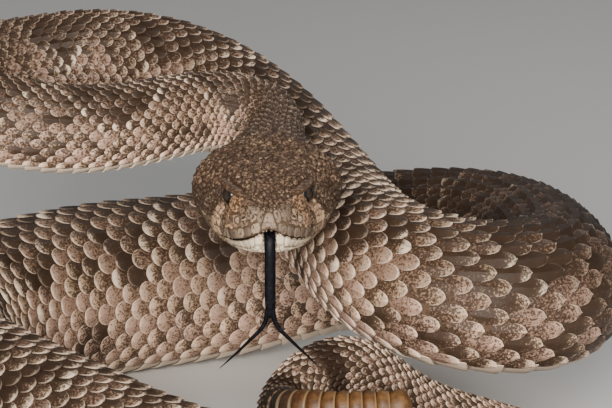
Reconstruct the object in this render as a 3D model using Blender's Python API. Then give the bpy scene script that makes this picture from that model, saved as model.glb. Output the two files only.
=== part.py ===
"""A western diamondback rattlesnake at rest in loose, raised coils, life size, as a still museum model.

The body follows one smooth centre line from the head to the rattle. The head faces -Y, the lowest coils
lie on the floor at Z = 0, and the origin is under the middle of the whole animal.
"""

import math

import bmesh
import bpy
import numpy as np
from mathutils import Matrix, Vector

MM = 0.001

# Driving dimensions, in millimetres
SLIT = 0.3  # between two pieces that meet
FLOOR = 0.0
EYE_RADIUS = 2.6
PIT_RADIUS = 1.2
NOSTRIL_RADIUS = 0.6
TONGUE_HALF_WIDTH = 1.3
TONGUE_HALF_THICKNESS = 0.62
TONGUE_TIP_RADIUS = 0.3
RATTLE_LOBES = 11
RATTLE_SIDES = 16
RATTLE_WAIST = 0.12  # how deep the groove along each side is, as a share of the half width
LOBE_SWELL = (0.84, 0.97, 1.0)  # the girth of a lobe from its groove on, as a share of the full girth
RATTLE_END_SWELL = 0.78
RING_STEP = 7.0  # between two rings of the body
BODY_SIDES = 24
BELLY_POWER = 0.72  # below 1 the underside is flatter than an ellipse
RIDGE_LEAN = 0.07  # how much the back narrows towards the spine

# The centre line from the head to the tip of the rattle: x, y, z, half width, half height
ROUTE = (
    (0, 0, 82, 16, 11),
    (0, 23, 83.6, 9.6, 10.2),
    (1.5, 37, 86.2, 7.6, 9.5),
    (0, 51, 89, 7.6, 10),
    (-12, 58, 90.5, 8, 10.6),
    (-30, 53, 89, 8.8, 11.2),
    (-50, 47, 88, 9.6, 11.8),
    (-72, 50, 90.5, 10.8, 12.2),
    (-86, 65, 93, 11.6, 12.6),
    (-85, 87, 93.5, 12.4, 13),
    (-69, 103, 94, 13, 13.5),
    (-46, 109, 94.5, 13.6, 14),
    (-22, 104, 90, 14.3, 14.6),
    (-2, 91, 79.5, 15.2, 15.4),
    (13, 70, 66.5, 16, 16.4),
    (23, 47, 58.6, 17, 17.4),
    (33, 27, 55.2, 18, 18.4),
    (42.5, 19.5, 53.2, 18.6, 19),
    (54, 18.3, 51.4, 19, 19.2),
    (65, 23.5, 50, 19.4, 19.4),
    (71.5, 34, 49, 19.7, 19.7),
    (72.5, 54, 48, 20.1, 20.1),
    (66.5, 84, 45.5, 20.7, 20.7),
    (47, 114, 39.8, 21.6, 21.6),
    (18, 130, 32, 22.6, 22.6),
    (-15, 131, 26, 23.8, 24.6),
    (-47, 121, 24.6, 24.6, 25.2),
    (-73, 104, 24.2, 24.2, 24.8),
    (-90, 79, 23.2, 23.4, 23.8),
    (-90, 52, 22.2, 22.6, 22.8),
    (-74, 25, 21.4, 21.8, 22),
    (-49, -3, 20.4, 20.8, 21),
    (-22, -29, 19, 19.6, 19.6),
    (10, -45, 17.4, 18, 18),
    (43, -50, 15.4, 16.2, 16),
    (70, -40, 13.4, 14.2, 14),
    (82, -18, 11.8, 12.4, 12.4),
    (74, 3, 11, 11, 11.4),
    (59, 12, 14.5, 10, 10),
    (45, 11.5, 19.8, 9, 9.2),
    (32, 7.5, 28.2, 8.2, 8.6),
    (20, 2, 37.6, 7.6, 8),
    (8.5, -5, 35.6, 7, 7.4),
    (3.8, -13, 31.6, 6.2, 6.8),
    (4.9, -18.2, 32.2, 4.9, 6.5),
    (9.4, -22.8, 33.6, 4.9, 6.5),
    (16, -25, 34.2, 4.9, 6.5),
    (26, -25.6, 34.8, 4.9, 6.5),
    (35, -25.2, 35.2, 4.9, 6.5),
)
RATTLE_ROOT = 43  # the number of its first point

# Each length of the body: its node and the numbers of the points of ROUTE that it runs between
LENGTHS = (
    ("neck", 1, 4),
    ("body_01", 4, 7),
    ("body_02", 7, 9),
    ("body_03", 9, 11),
    ("body_04", 11, 13),
    ("body_05", 13, 15),
    ("body_06", 15, 18),
    ("body_07", 18, 20),
    ("body_08", 20, 22),
    ("body_09", 22, 24),
    ("body_10", 24, 26),
    ("body_11", 26, 28),
    ("body_12", 28, 30),
    ("body_13", 30, 32),
    ("body_14", 32, 34),
    ("body_15", 34, 36),
    ("body_16", 36, 37),
    ("tail_01", 37, 40),
    ("tail_02", 40, 43),
)

# The head, section by section. ahead is measured towards the snout from the head's middle, the others
# across from its midline or up from the floor. crown is the top of the midline, brow the edge of the
# brow and of the snout, temple the side under it, cheek the widest place, lip the edge of the upper lip,
# jaw the lower corner and throat the lowest place on the midline.
SECTION_NAMES = (
    "ahead",
    "crown_up",
    "brow_out",
    "brow_up",
    "temple_out",
    "temple_up",
    "cheek_out",
    "cheek_up",
    "lip_out",
    "lip_up",
    "jaw_out",
    "jaw_up",
    "throat_up",
)
HEAD_SECTIONS = (
    (-17.5, 92.6, 8.5, 91.6, 13.2, 88.2, 14.6, 82.0, 12.4, 75.4, 8.0, 71.9, 71.4),
    (-12.0, 91.2, 9.6, 90.4, 16.2, 87.2, 18.0, 80.8, 15.6, 74.6, 10.5, 70.8, 70.1),
    (-6.0, 90.3, 10.2, 89.7, 15.0, 86.0, 17.2, 79.8, 14.9, 73.9, 11.0, 70.4, 69.6),
    (1.0, 89.3, 10.7, 88.9, 12.2, 85.0, 14.4, 79.0, 12.8, 73.1, 9.8, 70.4, 69.8),
    (8.0, 87.9, 10.8, 87.8, 9.7, 84.3, 11.6, 78.6, 10.4, 73.3, 8.2, 71.2, 70.8),
    (12.8, 86.6, 8.7, 86.4, 7.8, 83.6, 9.4, 78.9, 9.1, 74.0, 7.0, 72.0, 71.5),
    (17.8, 85.4, 5.9, 85.3, 6.1, 83.1, 7.4, 79.4, 7.4, 75.1, 5.4, 72.7, 72.0),
    (21.3, 84.4, 3.6, 84.5, 4.7, 82.7, 5.6, 80.0, 5.5, 76.4, 3.7, 73.4, 72.7),
    (23.1, 83.8, 2.1, 83.8, 3.1, 82.4, 3.8, 80.4, 3.7, 77.7, 2.4, 74.7, 74.1),
    (23.9, 83.0, 1.2, 83.0, 1.9, 82.1, 2.2, 80.8, 2.1, 78.8, 1.3, 76.8, 76.6),
)
HEAD_BACK = -17.5
MOUTH_CORNER = -9.5
JAW_TIP = 23.2
SNOUT_TIP = 23.9
HEAD_STEP = 1.45
LOWER_LIP_INSET = 0.3

# Places on the head: ahead, out to the side, up
EYE_PLACE = (9.3, 7.7, 84.6)
BROW_PLATE_PLACE = (6.8, 8.4, 87.45)
PIT_PLACE = (16.6, 7.9, 79.8)
NOSTRIL_PLACE = (20.9, 5.4, 81.9)
BROW_PLATE_HALF_SIZES = (6.2, 3.0, 1.0)
BROW_PLATE_TOE_IN = math.radians(14)
BROW_PLATE_DIP = math.radians(-13)

# The head is turned a little about the middle of its back half
HEAD_PIVOT = (0, 12, 82)
HEAD_YAW = math.radians(1.7)
HEAD_ROLL = math.radians(-1.0)

# The tongue: x, y, z from inside the mouth to the fork, then each prong beyond it
TONGUE_STEM = (
    (0.95, -19.9, 78.7),
    (1.1, -22.6, 78.75),
    (1.2, -24.3, 78.1),
    (1.25, -25.2, 76.4),
    (1.3, -25.7, 73),
    (1.3, -26, 67),
    (1.3, -26.2, 62),
    (1.3, -26.2, 59),
)
TONGUE_PRONG = ((0.9, 0, -1.8), (3.2, 0, -4.6), (7.2, 0.1, -8.6), (11.4, 0.2, -12.6))
TONGUE_SLOT = (19.6, 1.65, 75.2, 79.75)  # back, half width, bottom, top

SKIN_BROWN = (0.22, 0.15, 0.105)
SKIN_GREY = (0.30, 0.235, 0.18)
TAIL_ASH = (0.36, 0.34, 0.31)
LIP_CREAM = (0.55, 0.50, 0.42)
RATTLE_AMBER = (0.36, 0.19, 0.07)
EYE_DARK = (0.03, 0.026, 0.022)
TONGUE_BLACK = (0.008, 0.008, 0.012)


def natural_cubic(at, values):
    """A function that runs smoothly through the values given at the numbers in at."""
    at = np.asarray(at, float)
    values = np.asarray(values, float)
    step = np.diff(at)
    slope = (np.diff(values, axis=0).T / step).T
    system = np.eye(len(at))
    right = np.zeros_like(values)
    for i in range(1, len(at) - 1):
        system[i, i - 1 : i + 2] = step[i - 1], 2 * (step[i - 1] + step[i]), step[i]
        right[i] = 6 * (slope[i] - slope[i - 1])
    bend = np.linalg.solve(system, right)

    def value(x):
        i = int(np.clip(np.searchsorted(at, x) - 1, 0, len(step) - 1))
        before, after, width = x - at[i], at[i + 1] - x, step[i]
        curved = (bend[i] * after**3 + bend[i + 1] * before**3) / (6 * width)
        start = (values[i] / width - bend[i] * width / 6) * after
        end = (values[i + 1] / width - bend[i + 1] * width / 6) * before
        return curved + start + end

    return value


def distances(points):
    """How far each point lies from the first, measured from point to point."""
    steps = np.linalg.norm(np.diff(np.asarray(points, float), axis=0), axis=1)
    return np.concatenate([[0], np.cumsum(steps)])


class CentreLine:
    """A smooth line through points, with a frame at each distance along it."""

    def __init__(self, points):
        self.knots = distances(points)
        self.place = natural_cubic(self.knots, points)

    def frame(self, along):
        """The place, the direction of travel, the left-to-right direction and the way up."""
        nudge = 0.05
        ahead = self.place(along + nudge) - self.place(along - nudge)
        ahead /= np.linalg.norm(ahead)
        across = np.cross(ahead, (0, 0, 1))
        across /= np.linalg.norm(across)
        return self.place(along), ahead, across, np.cross(across, ahead)


BODY = CentreLine([point[:3] for point in ROUTE])
HALF_WIDTHS = [point[3] for point in ROUTE]
HALF_HEIGHTS = [point[4] for point in ROUTE]


def body_ring(along, angles, shift=0.0):
    """The outline of the body at a distance along it, one point for each angle from the spine."""
    place, ahead, across, up = BODY.frame(along)
    place = place + ahead * shift
    half_width = np.interp(along, BODY.knots, HALF_WIDTHS)
    half_height = np.interp(along, BODY.knots, HALF_HEIGHTS)
    ring = []
    for angle in angles:
        rise = math.cos(angle)
        if rise < 0:
            rise = -((-rise) ** BELLY_POWER)
        side = math.sin(angle) * (1 - RIDGE_LEAN * max(rise, 0))
        point = place + across * side * half_width + up * rise * half_height
        point[2] = max(point[2], FLOOR)
        ring.append(point)
    return ring


def closed_mesh(name, rings):
    """A mesh through rings of equally many points, closed by a flat face at each end."""
    form = bmesh.new()
    rows = [[form.verts.new(Vector(point) * MM) for point in ring] for ring in rings]
    count = len(rows[0])
    for row, following in zip(rows, rows[1:]):
        for i in range(count):
            j = (i + 1) % count
            form.faces.new((row[i], row[j], following[j], following[i]))
    form.faces.new(list(reversed(rows[0])))
    form.faces.new(rows[-1])
    bmesh.ops.recalc_face_normals(form, faces=form.faces)
    mesh = bpy.data.meshes.new(name)
    form.to_mesh(mesh)
    form.free()
    return mesh


def node(name, mesh, material):
    """The named object for one piece of the animal."""
    piece = bpy.data.objects.new(name, mesh)
    bpy.context.scene.collection.objects.link(piece)
    mesh.materials.clear()
    mesh.materials.append(material)
    mesh.shade_smooth()
    mesh.set_sharp_from_angle(angle=math.radians(40))
    return piece


def finish(name, colour, roughness):
    """A plain painted finish."""
    material = bpy.data.materials.new(name)
    material.use_nodes = True
    shader = material.node_tree.nodes["Principled BSDF"]
    shader.inputs["Base Color"].default_value = (*colour, 1)
    shader.inputs["Roughness"].default_value = roughness
    shader.inputs["Metallic"].default_value = 0
    return material


def body_length(name, first, last, material):
    """One length of the body or tail, with the slit left at both ends."""
    start, end = BODY.knots[first], BODY.knots[last]
    angles = [(i + 0.5) * math.tau / BODY_SIDES for i in range(BODY_SIDES)]
    steps = max(2, round((end - start) / RING_STEP))
    rings = [body_ring(start, angles, SLIT / 2)]
    rings += [body_ring(start + (end - start) * i / steps, angles) for i in range(1, steps)]
    rings.append(body_ring(end, angles, -SLIT / 2))
    return node(name, closed_mesh(name, rings), material)


HEAD_SPLINE = natural_cubic(
    [section[0] for section in HEAD_SECTIONS], [section[1:] for section in HEAD_SECTIONS]
)


def head_section(ahead):
    """The named sizes of the head at one place along it."""
    return dict(zip(SECTION_NAMES[1:], HEAD_SPLINE(ahead)))


def turned(point):
    """A point of the straight head, where it is once the head is turned."""
    pivot = Vector(HEAD_PIVOT)
    turn = Matrix.Rotation(HEAD_YAW, 3, "Z") @ Matrix.Rotation(HEAD_ROLL, 3, "Y")
    return np.array(pivot + turn @ (Vector(point) - pivot))


def smooth_outline(corners, parts):
    """A curve through the corners, with each stretch between two of them cut into parts."""
    line = natural_cubic(distances(corners), corners)
    reach = distances(corners)
    outline = [line(reach[0])]
    for low, high in zip(reach, reach[1:]):
        outline += [line(low + (high - low) * i / parts) for i in range(1, parts + 1)]
    return outline


def upper_half(size):
    """The outline from the crown down to the upper lip, as (out, up)."""
    crown = smooth_outline([(0, size["crown_up"]), (size["brow_out"], size["brow_up"])], 3)
    side = smooth_outline(
        [
            (size["brow_out"], size["brow_up"]),
            (size["temple_out"], size["temple_up"]),
            (size["cheek_out"], size["cheek_up"]),
            (size["lip_out"], size["lip_up"]),
        ],
        3,
    )
    return crown + side[1:]


def lower_half(size, inset=0.0):
    """The outline from the lower lip down to the throat, as (out, up)."""
    return smooth_outline(
        [
            (size["lip_out"] - inset, size["lip_up"] - inset),
            (size["jaw_out"], size["jaw_up"]),
            (0, size["throat_up"]),
        ],
        3,
    )


def both_sides(half, ahead):
    """A whole outline of the head from half of it, which starts and ends on the midline."""
    right = [(out, -ahead, up) for out, up in half]
    left = [(-out, -ahead, up) for out, up in reversed(half[1:-1])]
    return [turned(point) for point in right + left]


def head_outline(ahead):
    """The whole head's outline behind the mouth, and the upper jaw's with a flat palate before it."""
    size = head_section(ahead)
    upper = upper_half(size)
    lower = lower_half(size)
    if ahead > MOUTH_CORNER:
        lip = upper[-1]
        lower = [(lip[0] * out / lower[0][0], lip[1]) for out, _ in lower]
    return both_sides(upper + lower[1:], ahead)


def jaw_outline(ahead):
    """The lower jaw's outline, flat on top."""
    lower = lower_half(head_section(ahead), LOWER_LIP_INSET)
    lip_out, lip_up = lower[0]
    floor_of_mouth = [(lip_out * i / 3, lip_up) for i in range(3)]
    return both_sides(floor_of_mouth + lower, ahead)


def spaced(start, end, step):
    """Numbers from start to end, about a step apart."""
    count = max(1, round(abs(end - start) / step))
    return [start + (end - start) * i / count for i in range(count + 1)]


def ball(place, radii, rotation=None, fineness=2):
    """A closed ball or egg for joining to a piece or cutting one."""
    form = bmesh.new()
    bmesh.ops.create_icosphere(form, subdivisions=fineness, radius=1)
    shape = Matrix.Diagonal(Vector(radii) * MM).to_4x4()
    turn = rotation.to_4x4() if rotation else Matrix.Identity(4)
    bmesh.ops.transform(form, matrix=Matrix.Translation(Vector(place) * MM) @ turn @ shape, verts=form.verts)
    mesh = bpy.data.meshes.new("ball")
    form.to_mesh(mesh)
    form.free()
    return mesh


def block(low, high):
    """A closed box between two corners of the straight head, turned with it."""
    rings = []
    for y in (low[1], high[1]):
        corners = ((low[0], low[2]), (high[0], low[2]), (high[0], high[2]), (low[0], high[2]))
        rings.append([turned((x, y, z)) for x, z in corners])
    return closed_mesh("block", rings)


def combine(piece, meshes, operation):
    """Joins closed meshes to a piece or cuts them from it, and leaves no helper behind."""
    helpers = bpy.data.collections.new("helpers")
    for mesh in meshes:
        helpers.objects.link(bpy.data.objects.new("helper", mesh))
    step = piece.modifiers.new(operation.lower(), "BOOLEAN")
    step.operation = operation
    step.solver = "EXACT"
    step.operand_type = "COLLECTION"
    step.collection = helpers
    graph = bpy.context.evaluated_depsgraph_get()
    result = bpy.data.meshes.new_from_object(piece.evaluated_get(graph))
    piece.modifiers.clear()
    piece.data = result
    for helper in list(helpers.objects):
        bpy.data.objects.remove(helper)
    bpy.data.collections.remove(helpers)


def on_both_sides(place):
    """The two places of something that the head has on its left and its right."""
    ahead, out, up = place
    return [turned((side * out, -ahead, up)) for side in (-1, 1)]


def make_head(skin):
    """The head down to the upper lip, with brow plates, eye sockets, heat pits, nostrils and tongue slot."""
    angles = [math.atan2(point[0], point[2] - 82) for point in head_outline(HEAD_BACK)]
    rings = [body_ring(BODY.knots[1], angles, -SLIT / 2)]
    rings += [head_outline(ahead) for ahead in spaced(HEAD_BACK, MOUTH_CORNER, HEAD_STEP)]
    rings += [
        head_outline(ahead)
        for ahead in spaced(MOUTH_CORNER + SLIT / 2, SNOUT_TIP, HEAD_STEP)
    ]
    head = node("head", closed_mesh("head", rings), skin)
    plates = []
    for side, place in zip((-1, 1), on_both_sides(BROW_PLATE_PLACE)):
        turn = Matrix.Rotation(HEAD_YAW + side * BROW_PLATE_TOE_IN, 3, "Z")
        turn = turn @ Matrix.Rotation(-BROW_PLATE_DIP, 3, "X")
        along, across, thick = BROW_PLATE_HALF_SIZES
        plates.append(ball(place, (across, along, thick), turn, fineness=3))
    combine(head, plates, "UNION")
    socket = EYE_RADIUS + SLIT
    cutters = [ball(place, (socket,) * 3, fineness=3) for place in on_both_sides(EYE_PLACE)]
    cutters += [ball(place, (PIT_RADIUS,) * 3) for place in on_both_sides(PIT_PLACE)]
    cutters += [ball(place, (NOSTRIL_RADIUS,) * 3) for place in on_both_sides(NOSTRIL_PLACE)]
    back, half_width, bottom, top = TONGUE_SLOT
    cutters.append(block((-half_width, -SNOUT_TIP - 2, bottom), (half_width, -back, top)))
    combine(head, cutters, "DIFFERENCE")
    return head


def make_lower_jaw(lip):
    """The lower jaw, a slit under the upper lip and before the throat."""
    ends = (MOUTH_CORNER + 1.5 * SLIT, JAW_TIP)
    rings = [jaw_outline(ahead) for ahead in spaced(*ends, HEAD_STEP)]
    return node("lower_jaw", closed_mesh("lower_jaw", rings), lip)


def round_tube(name, points, half_sizes):
    """A closed tube of eight sides; half_sizes gives its half width and half thickness at each point."""
    line = CentreLine(points)
    rings = []
    for along, (half_width, half_thickness) in zip(line.knots, half_sizes):
        place, ahead, _, _ = line.frame(along)
        across = np.cross(ahead, (0, 1, 0.2))
        if abs(ahead[1]) > 0.7:
            across = np.array([1.0, 0, 0])
        across /= np.linalg.norm(across)
        if across[0] < 0:
            across = -across
        outward = np.cross(across, ahead)
        ring = []
        for i in range(8):
            angle = (i + 0.5) * math.tau / 8
            side = across * math.cos(angle) * half_width
            ring.append(place + side + outward * math.sin(angle) * half_thickness)
        rings.append(ring)
    return closed_mesh(name, rings)


def make_tongue(black):
    """The tongue, out through the notch of the upper lip, hanging, with its two prongs."""
    width, thickness, tip = TONGUE_HALF_WIDTH, TONGUE_HALF_THICKNESS, TONGUE_TIP_RADIUS
    stem = [(width, thickness)] * (len(TONGUE_STEM) - 1) + [(width * 0.85, thickness)]
    tongue = node("tongue", round_tube("tongue", TONGUE_STEM, stem), black)
    fork = TONGUE_STEM[-1]
    prongs = []
    for side in (-1, 1):
        root = (fork[0] + side * 0.35 * width, fork[1], fork[2] + 1.5)
        points = [root]
        points += [(fork[0] + side * x, fork[1] + y, fork[2] + z) for x, y, z in TONGUE_PRONG]
        share = [i / (len(points) - 1) for i in range(len(points))]
        sizes = [(0.6 * width * (1 - s) + tip * s, 0.8 * thickness * (1 - s) + tip * s) for s in share]
        prongs.append(round_tube("prong", points, sizes))
    combine(tongue, prongs, "UNION")
    return tongue


def make_rattle(amber):
    """The rattle: a chain of lobes, each swelling behind a groove, flattened from side to side."""
    start, end = BODY.knots[RATTLE_ROOT], BODY.knots[-1]
    rings = []
    for i in range(len(LOBE_SWELL) * RATTLE_LOBES + 1):
        share = i / (len(LOBE_SWELL) * RATTLE_LOBES)
        along = start + (end - start) * share
        place, _, across, up = BODY.frame(along)
        if i == 0:
            place = place + BODY.frame(start)[1] * SLIT / 2
        size = RATTLE_END_SWELL if share > 0.98 else LOBE_SWELL[i % len(LOBE_SWELL)]
        half_width = np.interp(along, BODY.knots, HALF_WIDTHS) * size
        half_height = np.interp(along, BODY.knots, HALF_HEIGHTS) * size
        ring = []
        for k in range(RATTLE_SIDES):
            angle = (k + 0.5) * math.tau / RATTLE_SIDES
            waist = 1 - RATTLE_WAIST * math.sin(angle) ** 8
            side = across * math.sin(angle) * half_width * waist
            ring.append(place + side + up * math.cos(angle) * half_height)
        rings.append(ring)
    return node("rattle", closed_mesh("rattle", rings), amber)


def make_eyes(dark):
    """The two eyeballs, in their sockets."""
    for name, place in zip(("eye_right", "eye_left"), on_both_sides(EYE_PLACE)):
        node(name, ball(place, (EYE_RADIUS,) * 3, fineness=3), dark)


def stand_on_origin():
    """Moves the animal so that the origin lies under the middle of it, at the floor."""
    pieces = list(bpy.context.scene.collection.objects)
    corners = np.array([corner.co for piece in pieces for corner in piece.data.vertices])
    middle = (corners.min(axis=0) + corners.max(axis=0)) / 2
    for piece in pieces:
        piece.data.transform(Matrix.Translation((-middle[0], -middle[1], 0)))


def build():
    for old in list(bpy.data.objects):
        bpy.data.objects.remove(old)
    brown = finish("head_skin", SKIN_BROWN, 0.7)
    grey = finish("body_skin", SKIN_GREY, 0.65)
    ash = finish("tail_skin", TAIL_ASH, 0.65)
    make_head(brown)
    make_lower_jaw(finish("lip_skin", LIP_CREAM, 0.6))
    make_eyes(finish("eye", EYE_DARK, 0.15))
    make_tongue(finish("tongue", TONGUE_BLACK, 0.3))
    for name, first, last in LENGTHS:
        body_length(name, first, last, ash if name.startswith("tail") else grey)
    make_rattle(finish("rattle", RATTLE_AMBER, 0.5))
    stand_on_origin()


build()
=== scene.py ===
# %% [markdown]
# A western diamondback rattlesnake, life size, raised in loose coils with its head level and its tongue out.
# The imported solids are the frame: they give the size and the place of everything. This lesson lays one skin
# where the solids of flesh are, covers it with thousands of overlapping scales, and gives the head its
# plates, brows, heat pits and eyes. Every scale is real mesh, because a snake's outline is made of them.

# %% Load the frame
import math

import bpy
import numpy as np
from mathutils import Matrix, Vector
from mathutils.bvhtree import BVHTree


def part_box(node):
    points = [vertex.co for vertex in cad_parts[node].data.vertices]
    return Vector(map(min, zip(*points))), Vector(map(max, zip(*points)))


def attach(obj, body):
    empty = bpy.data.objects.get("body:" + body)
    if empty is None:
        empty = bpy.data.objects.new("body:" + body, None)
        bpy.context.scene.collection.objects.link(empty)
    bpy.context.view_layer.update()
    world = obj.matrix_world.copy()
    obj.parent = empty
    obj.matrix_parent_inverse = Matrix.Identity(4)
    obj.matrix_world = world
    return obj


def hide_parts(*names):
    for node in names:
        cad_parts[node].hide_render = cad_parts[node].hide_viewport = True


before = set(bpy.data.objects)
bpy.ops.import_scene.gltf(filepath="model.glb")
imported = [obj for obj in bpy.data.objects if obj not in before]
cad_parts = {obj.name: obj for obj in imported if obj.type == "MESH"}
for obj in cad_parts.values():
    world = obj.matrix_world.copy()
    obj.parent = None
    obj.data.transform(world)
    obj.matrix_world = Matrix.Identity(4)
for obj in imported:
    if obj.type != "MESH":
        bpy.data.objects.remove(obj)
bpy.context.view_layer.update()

MM = 0.001
rng = np.random.default_rng(7)
print("solids in the frame:", len(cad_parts))

# %% [markdown]
# The whole animal hangs on one line, from the middle of the head to the tip of the rattle. A spline through
# a few dozen places is smooth and easy to correct, where a sculpted tube would have to be pushed about by
# hand. The places, the half widths and the half heights are those of the solids, in millimetres.

# %% The centre line
ROUTE = (
    (0, 0, 82, 16, 11), (0, 23, 83.6, 9.6, 10.2), (1.5, 37, 86.2, 7.6, 9.5),
    (0, 51, 89, 7.6, 10), (-12, 58, 90.5, 8, 10.6), (-30, 53, 89, 8.8, 11.2),
    (-50, 47, 88, 9.6, 11.8), (-72, 50, 90.5, 10.8, 12.2), (-86, 65, 93, 11.6, 12.6),
    (-85, 87, 93.5, 12.4, 13), (-69, 103, 94, 13, 13.5), (-46, 109, 94.5, 13.6, 14),
    (-22, 104, 90, 14.3, 14.6), (-2, 91, 79.5, 15.2, 15.4), (13, 70, 66.5, 16, 16.4),
    (23, 47, 58.6, 17, 17.4), (33, 27, 55.2, 18, 18.4), (42.5, 19.5, 53.2, 18.6, 19),
    (54, 18.3, 51.4, 19, 19.2), (65, 23.5, 50, 19.4, 19.4), (71.5, 34, 49, 19.7, 19.7),
    (72.5, 54, 48, 20.1, 20.1), (66.5, 84, 45.5, 20.7, 20.7), (47, 114, 39.8, 21.6, 21.6),
    (18, 130, 32, 22.6, 22.6), (-15, 131, 26, 23.8, 24.6), (-47, 121, 24.6, 24.6, 25.2),
    (-73, 104, 24.2, 24.2, 24.8), (-90, 79, 23.2, 23.4, 23.8), (-90, 52, 22.2, 22.6, 22.8),
    (-74, 25, 21.4, 21.8, 22), (-49, -3, 20.4, 20.8, 21), (-22, -29, 19, 19.6, 19.6),
    (10, -45, 17.4, 18, 18), (43, -50, 15.4, 16.2, 16), (70, -40, 13.4, 14.2, 14),
    (82, -18, 11.8, 12.4, 12.4), (74, 3, 11, 11, 11.4), (59, 12, 14.5, 10, 10),
    (45, 11.5, 19.8, 9, 9.2), (32, 7.5, 28.2, 8.2, 8.6), (20, 2, 37.6, 7.6, 8),
    (8.5, -5, 35.6, 7, 7.4), (3.8, -13, 31.6, 6.2, 6.8), (4.9, -18.2, 32.2, 4.9, 6.5),
    (9.4, -22.8, 33.6, 4.9, 6.5), (16, -25, 34.2, 4.9, 6.5), (26, -25.6, 34.8, 4.9, 6.5),
    (35, -25.2, 35.2, 4.9, 6.5),
)
NECK = 1  # the numbers of the points where the neck, the tail and the rattle start
TAIL = 37
RATTLE_ROOT = 43
BELLY_POWER = 0.72  # below 1 the underside is flatter than an ellipse
RIDGE_LEAN = 0.07  # how much the back narrows towards the spine


def natural_cubic(at, values):
    """A function that runs smoothly through the values given at some numbers."""
    at = np.asarray(at, float)
    values = np.asarray(values, float)
    step = np.diff(at)
    slope = (np.diff(values, axis=0).T / step).T
    system = np.eye(len(at))
    right = np.zeros_like(values)
    for i in range(1, len(at) - 1):
        system[i, i - 1 : i + 2] = step[i - 1], 2 * (step[i - 1] + step[i]), step[i]
        right[i] = 6 * (slope[i] - slope[i - 1])
    bend = np.linalg.solve(system, right)

    def value(x):
        x = np.atleast_1d(np.asarray(x, float))
        i = np.clip(np.searchsorted(at, x) - 1, 0, len(step) - 1)
        before, after, width = (x - at[i])[:, None], (at[i + 1] - x)[:, None], step[i][:, None]
        curved = (bend[i] * after**3 + bend[i + 1] * before**3) / (6 * width)
        start = (values[i] / width - bend[i] * width / 6) * after
        end = (values[i + 1] / width - bend[i + 1] * width / 6) * before
        return curved + start + end

    return value


def distances(points):
    """How far each point lies from the first, from point to point."""
    steps = np.linalg.norm(np.diff(np.asarray(points, float), axis=0), axis=1)
    return np.concatenate([[0], np.cumsum(steps)])


def unit(vectors):
    """The same directions, each with a length of one."""
    return vectors / np.maximum(np.linalg.norm(vectors, axis=-1, keepdims=True), 1e-12)


KNOTS = distances([point[:3] for point in ROUTE])
PLACE = natural_cubic(KNOTS, [point[:3] for point in ROUTE])
BODY_START, TAIL_START, BODY_END = KNOTS[NECK], KNOTS[TAIL], KNOTS[RATTLE_ROOT]


def girth(along):
    """The half width and the half height of the body at distances along it."""
    half_width = np.interp(along, KNOTS, [point[3] for point in ROUTE])
    half_height = np.interp(along, KNOTS, [point[4] for point in ROUTE])
    return half_width, half_height


def frames(along):
    """The place, the direction of travel, the left-to-right direction and the way up."""
    nudge = 0.05
    ahead = unit(PLACE(along + nudge) - PLACE(along - nudge))
    across = unit(np.cross(ahead, (0, 0, 1)))
    return PLACE(along), ahead, across, np.cross(across, ahead)


print("length from the neck to the rattle:", round(BODY_END - BODY_START), "mm")

# %% [markdown]
# A snake's body isn't round: the belly is flattened and the back narrows a little towards the spine. The
# body's surface is a formula of two numbers, the distance along the body and the angle round it from the
# spine, so the skin, every scale and every belly plate can be laid on it with the same few lines.

# %% The body's surface
FLOOR_GAP = 0.05


def round_body(angle):
    """How far out and up a body of radius one reaches, at angles from the spine."""
    rise = np.cos(angle)
    rise = np.where(rise < 0, -(np.abs(rise) ** BELLY_POWER), rise)
    return np.sin(angle) * (1 - RIDGE_LEAN * np.maximum(rise, 0)), rise


def body_point(along, angle, inset):
    """Points of the body's surface, moved in by inset."""
    place, _, across, up = frames(along)
    half_width, half_height = girth(along)
    side, rise = round_body(angle)
    point = place + across * (side * (half_width - inset))[:, None]
    point = point + up * (rise * (half_height - inset))[:, None]
    point[:, 2] = np.maximum(point[:, 2], FLOOR_GAP + inset)
    return point


def body_out(along, angle):
    """The outward directions at the same places."""
    nudge = 0.02
    round_it = body_point(along, angle + nudge, 0) - body_point(along, angle - nudge, 0)
    _, ahead, _, _ = frames(along)
    out = unit(np.cross(round_it, ahead))
    away = body_point(along, angle, 0) - PLACE(along)
    return out * np.sign(np.sum(out * away, axis=1))[:, None]


def even_angles():
    """Shares of the way from the spine to the belly, their angles, and how long that way is."""
    angle = np.linspace(0, math.pi, 721)
    reach = distances(np.stack(round_body(angle), axis=1))
    return reach / reach[-1], angle, reach[-1]


SHARE, SHARE_ANGLE, HALF_ROUND = even_angles()


def angle_at(share):
    """The angle at a share of the way from the spine (0) to the belly (1), with the share's sign."""
    return np.sign(share) * np.interp(np.abs(share), SHARE, SHARE_ANGLE)


print("half the way round a body of radius 1:", round(HALF_ROUND, 2))

# %% [markdown]
# The head is a row of sections from the back of the skull to the snout. Each section is a curve through the
# crown, the brow, the temple, the cheek, the lip, the jaw and the throat, with the same sizes as the solids.

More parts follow.
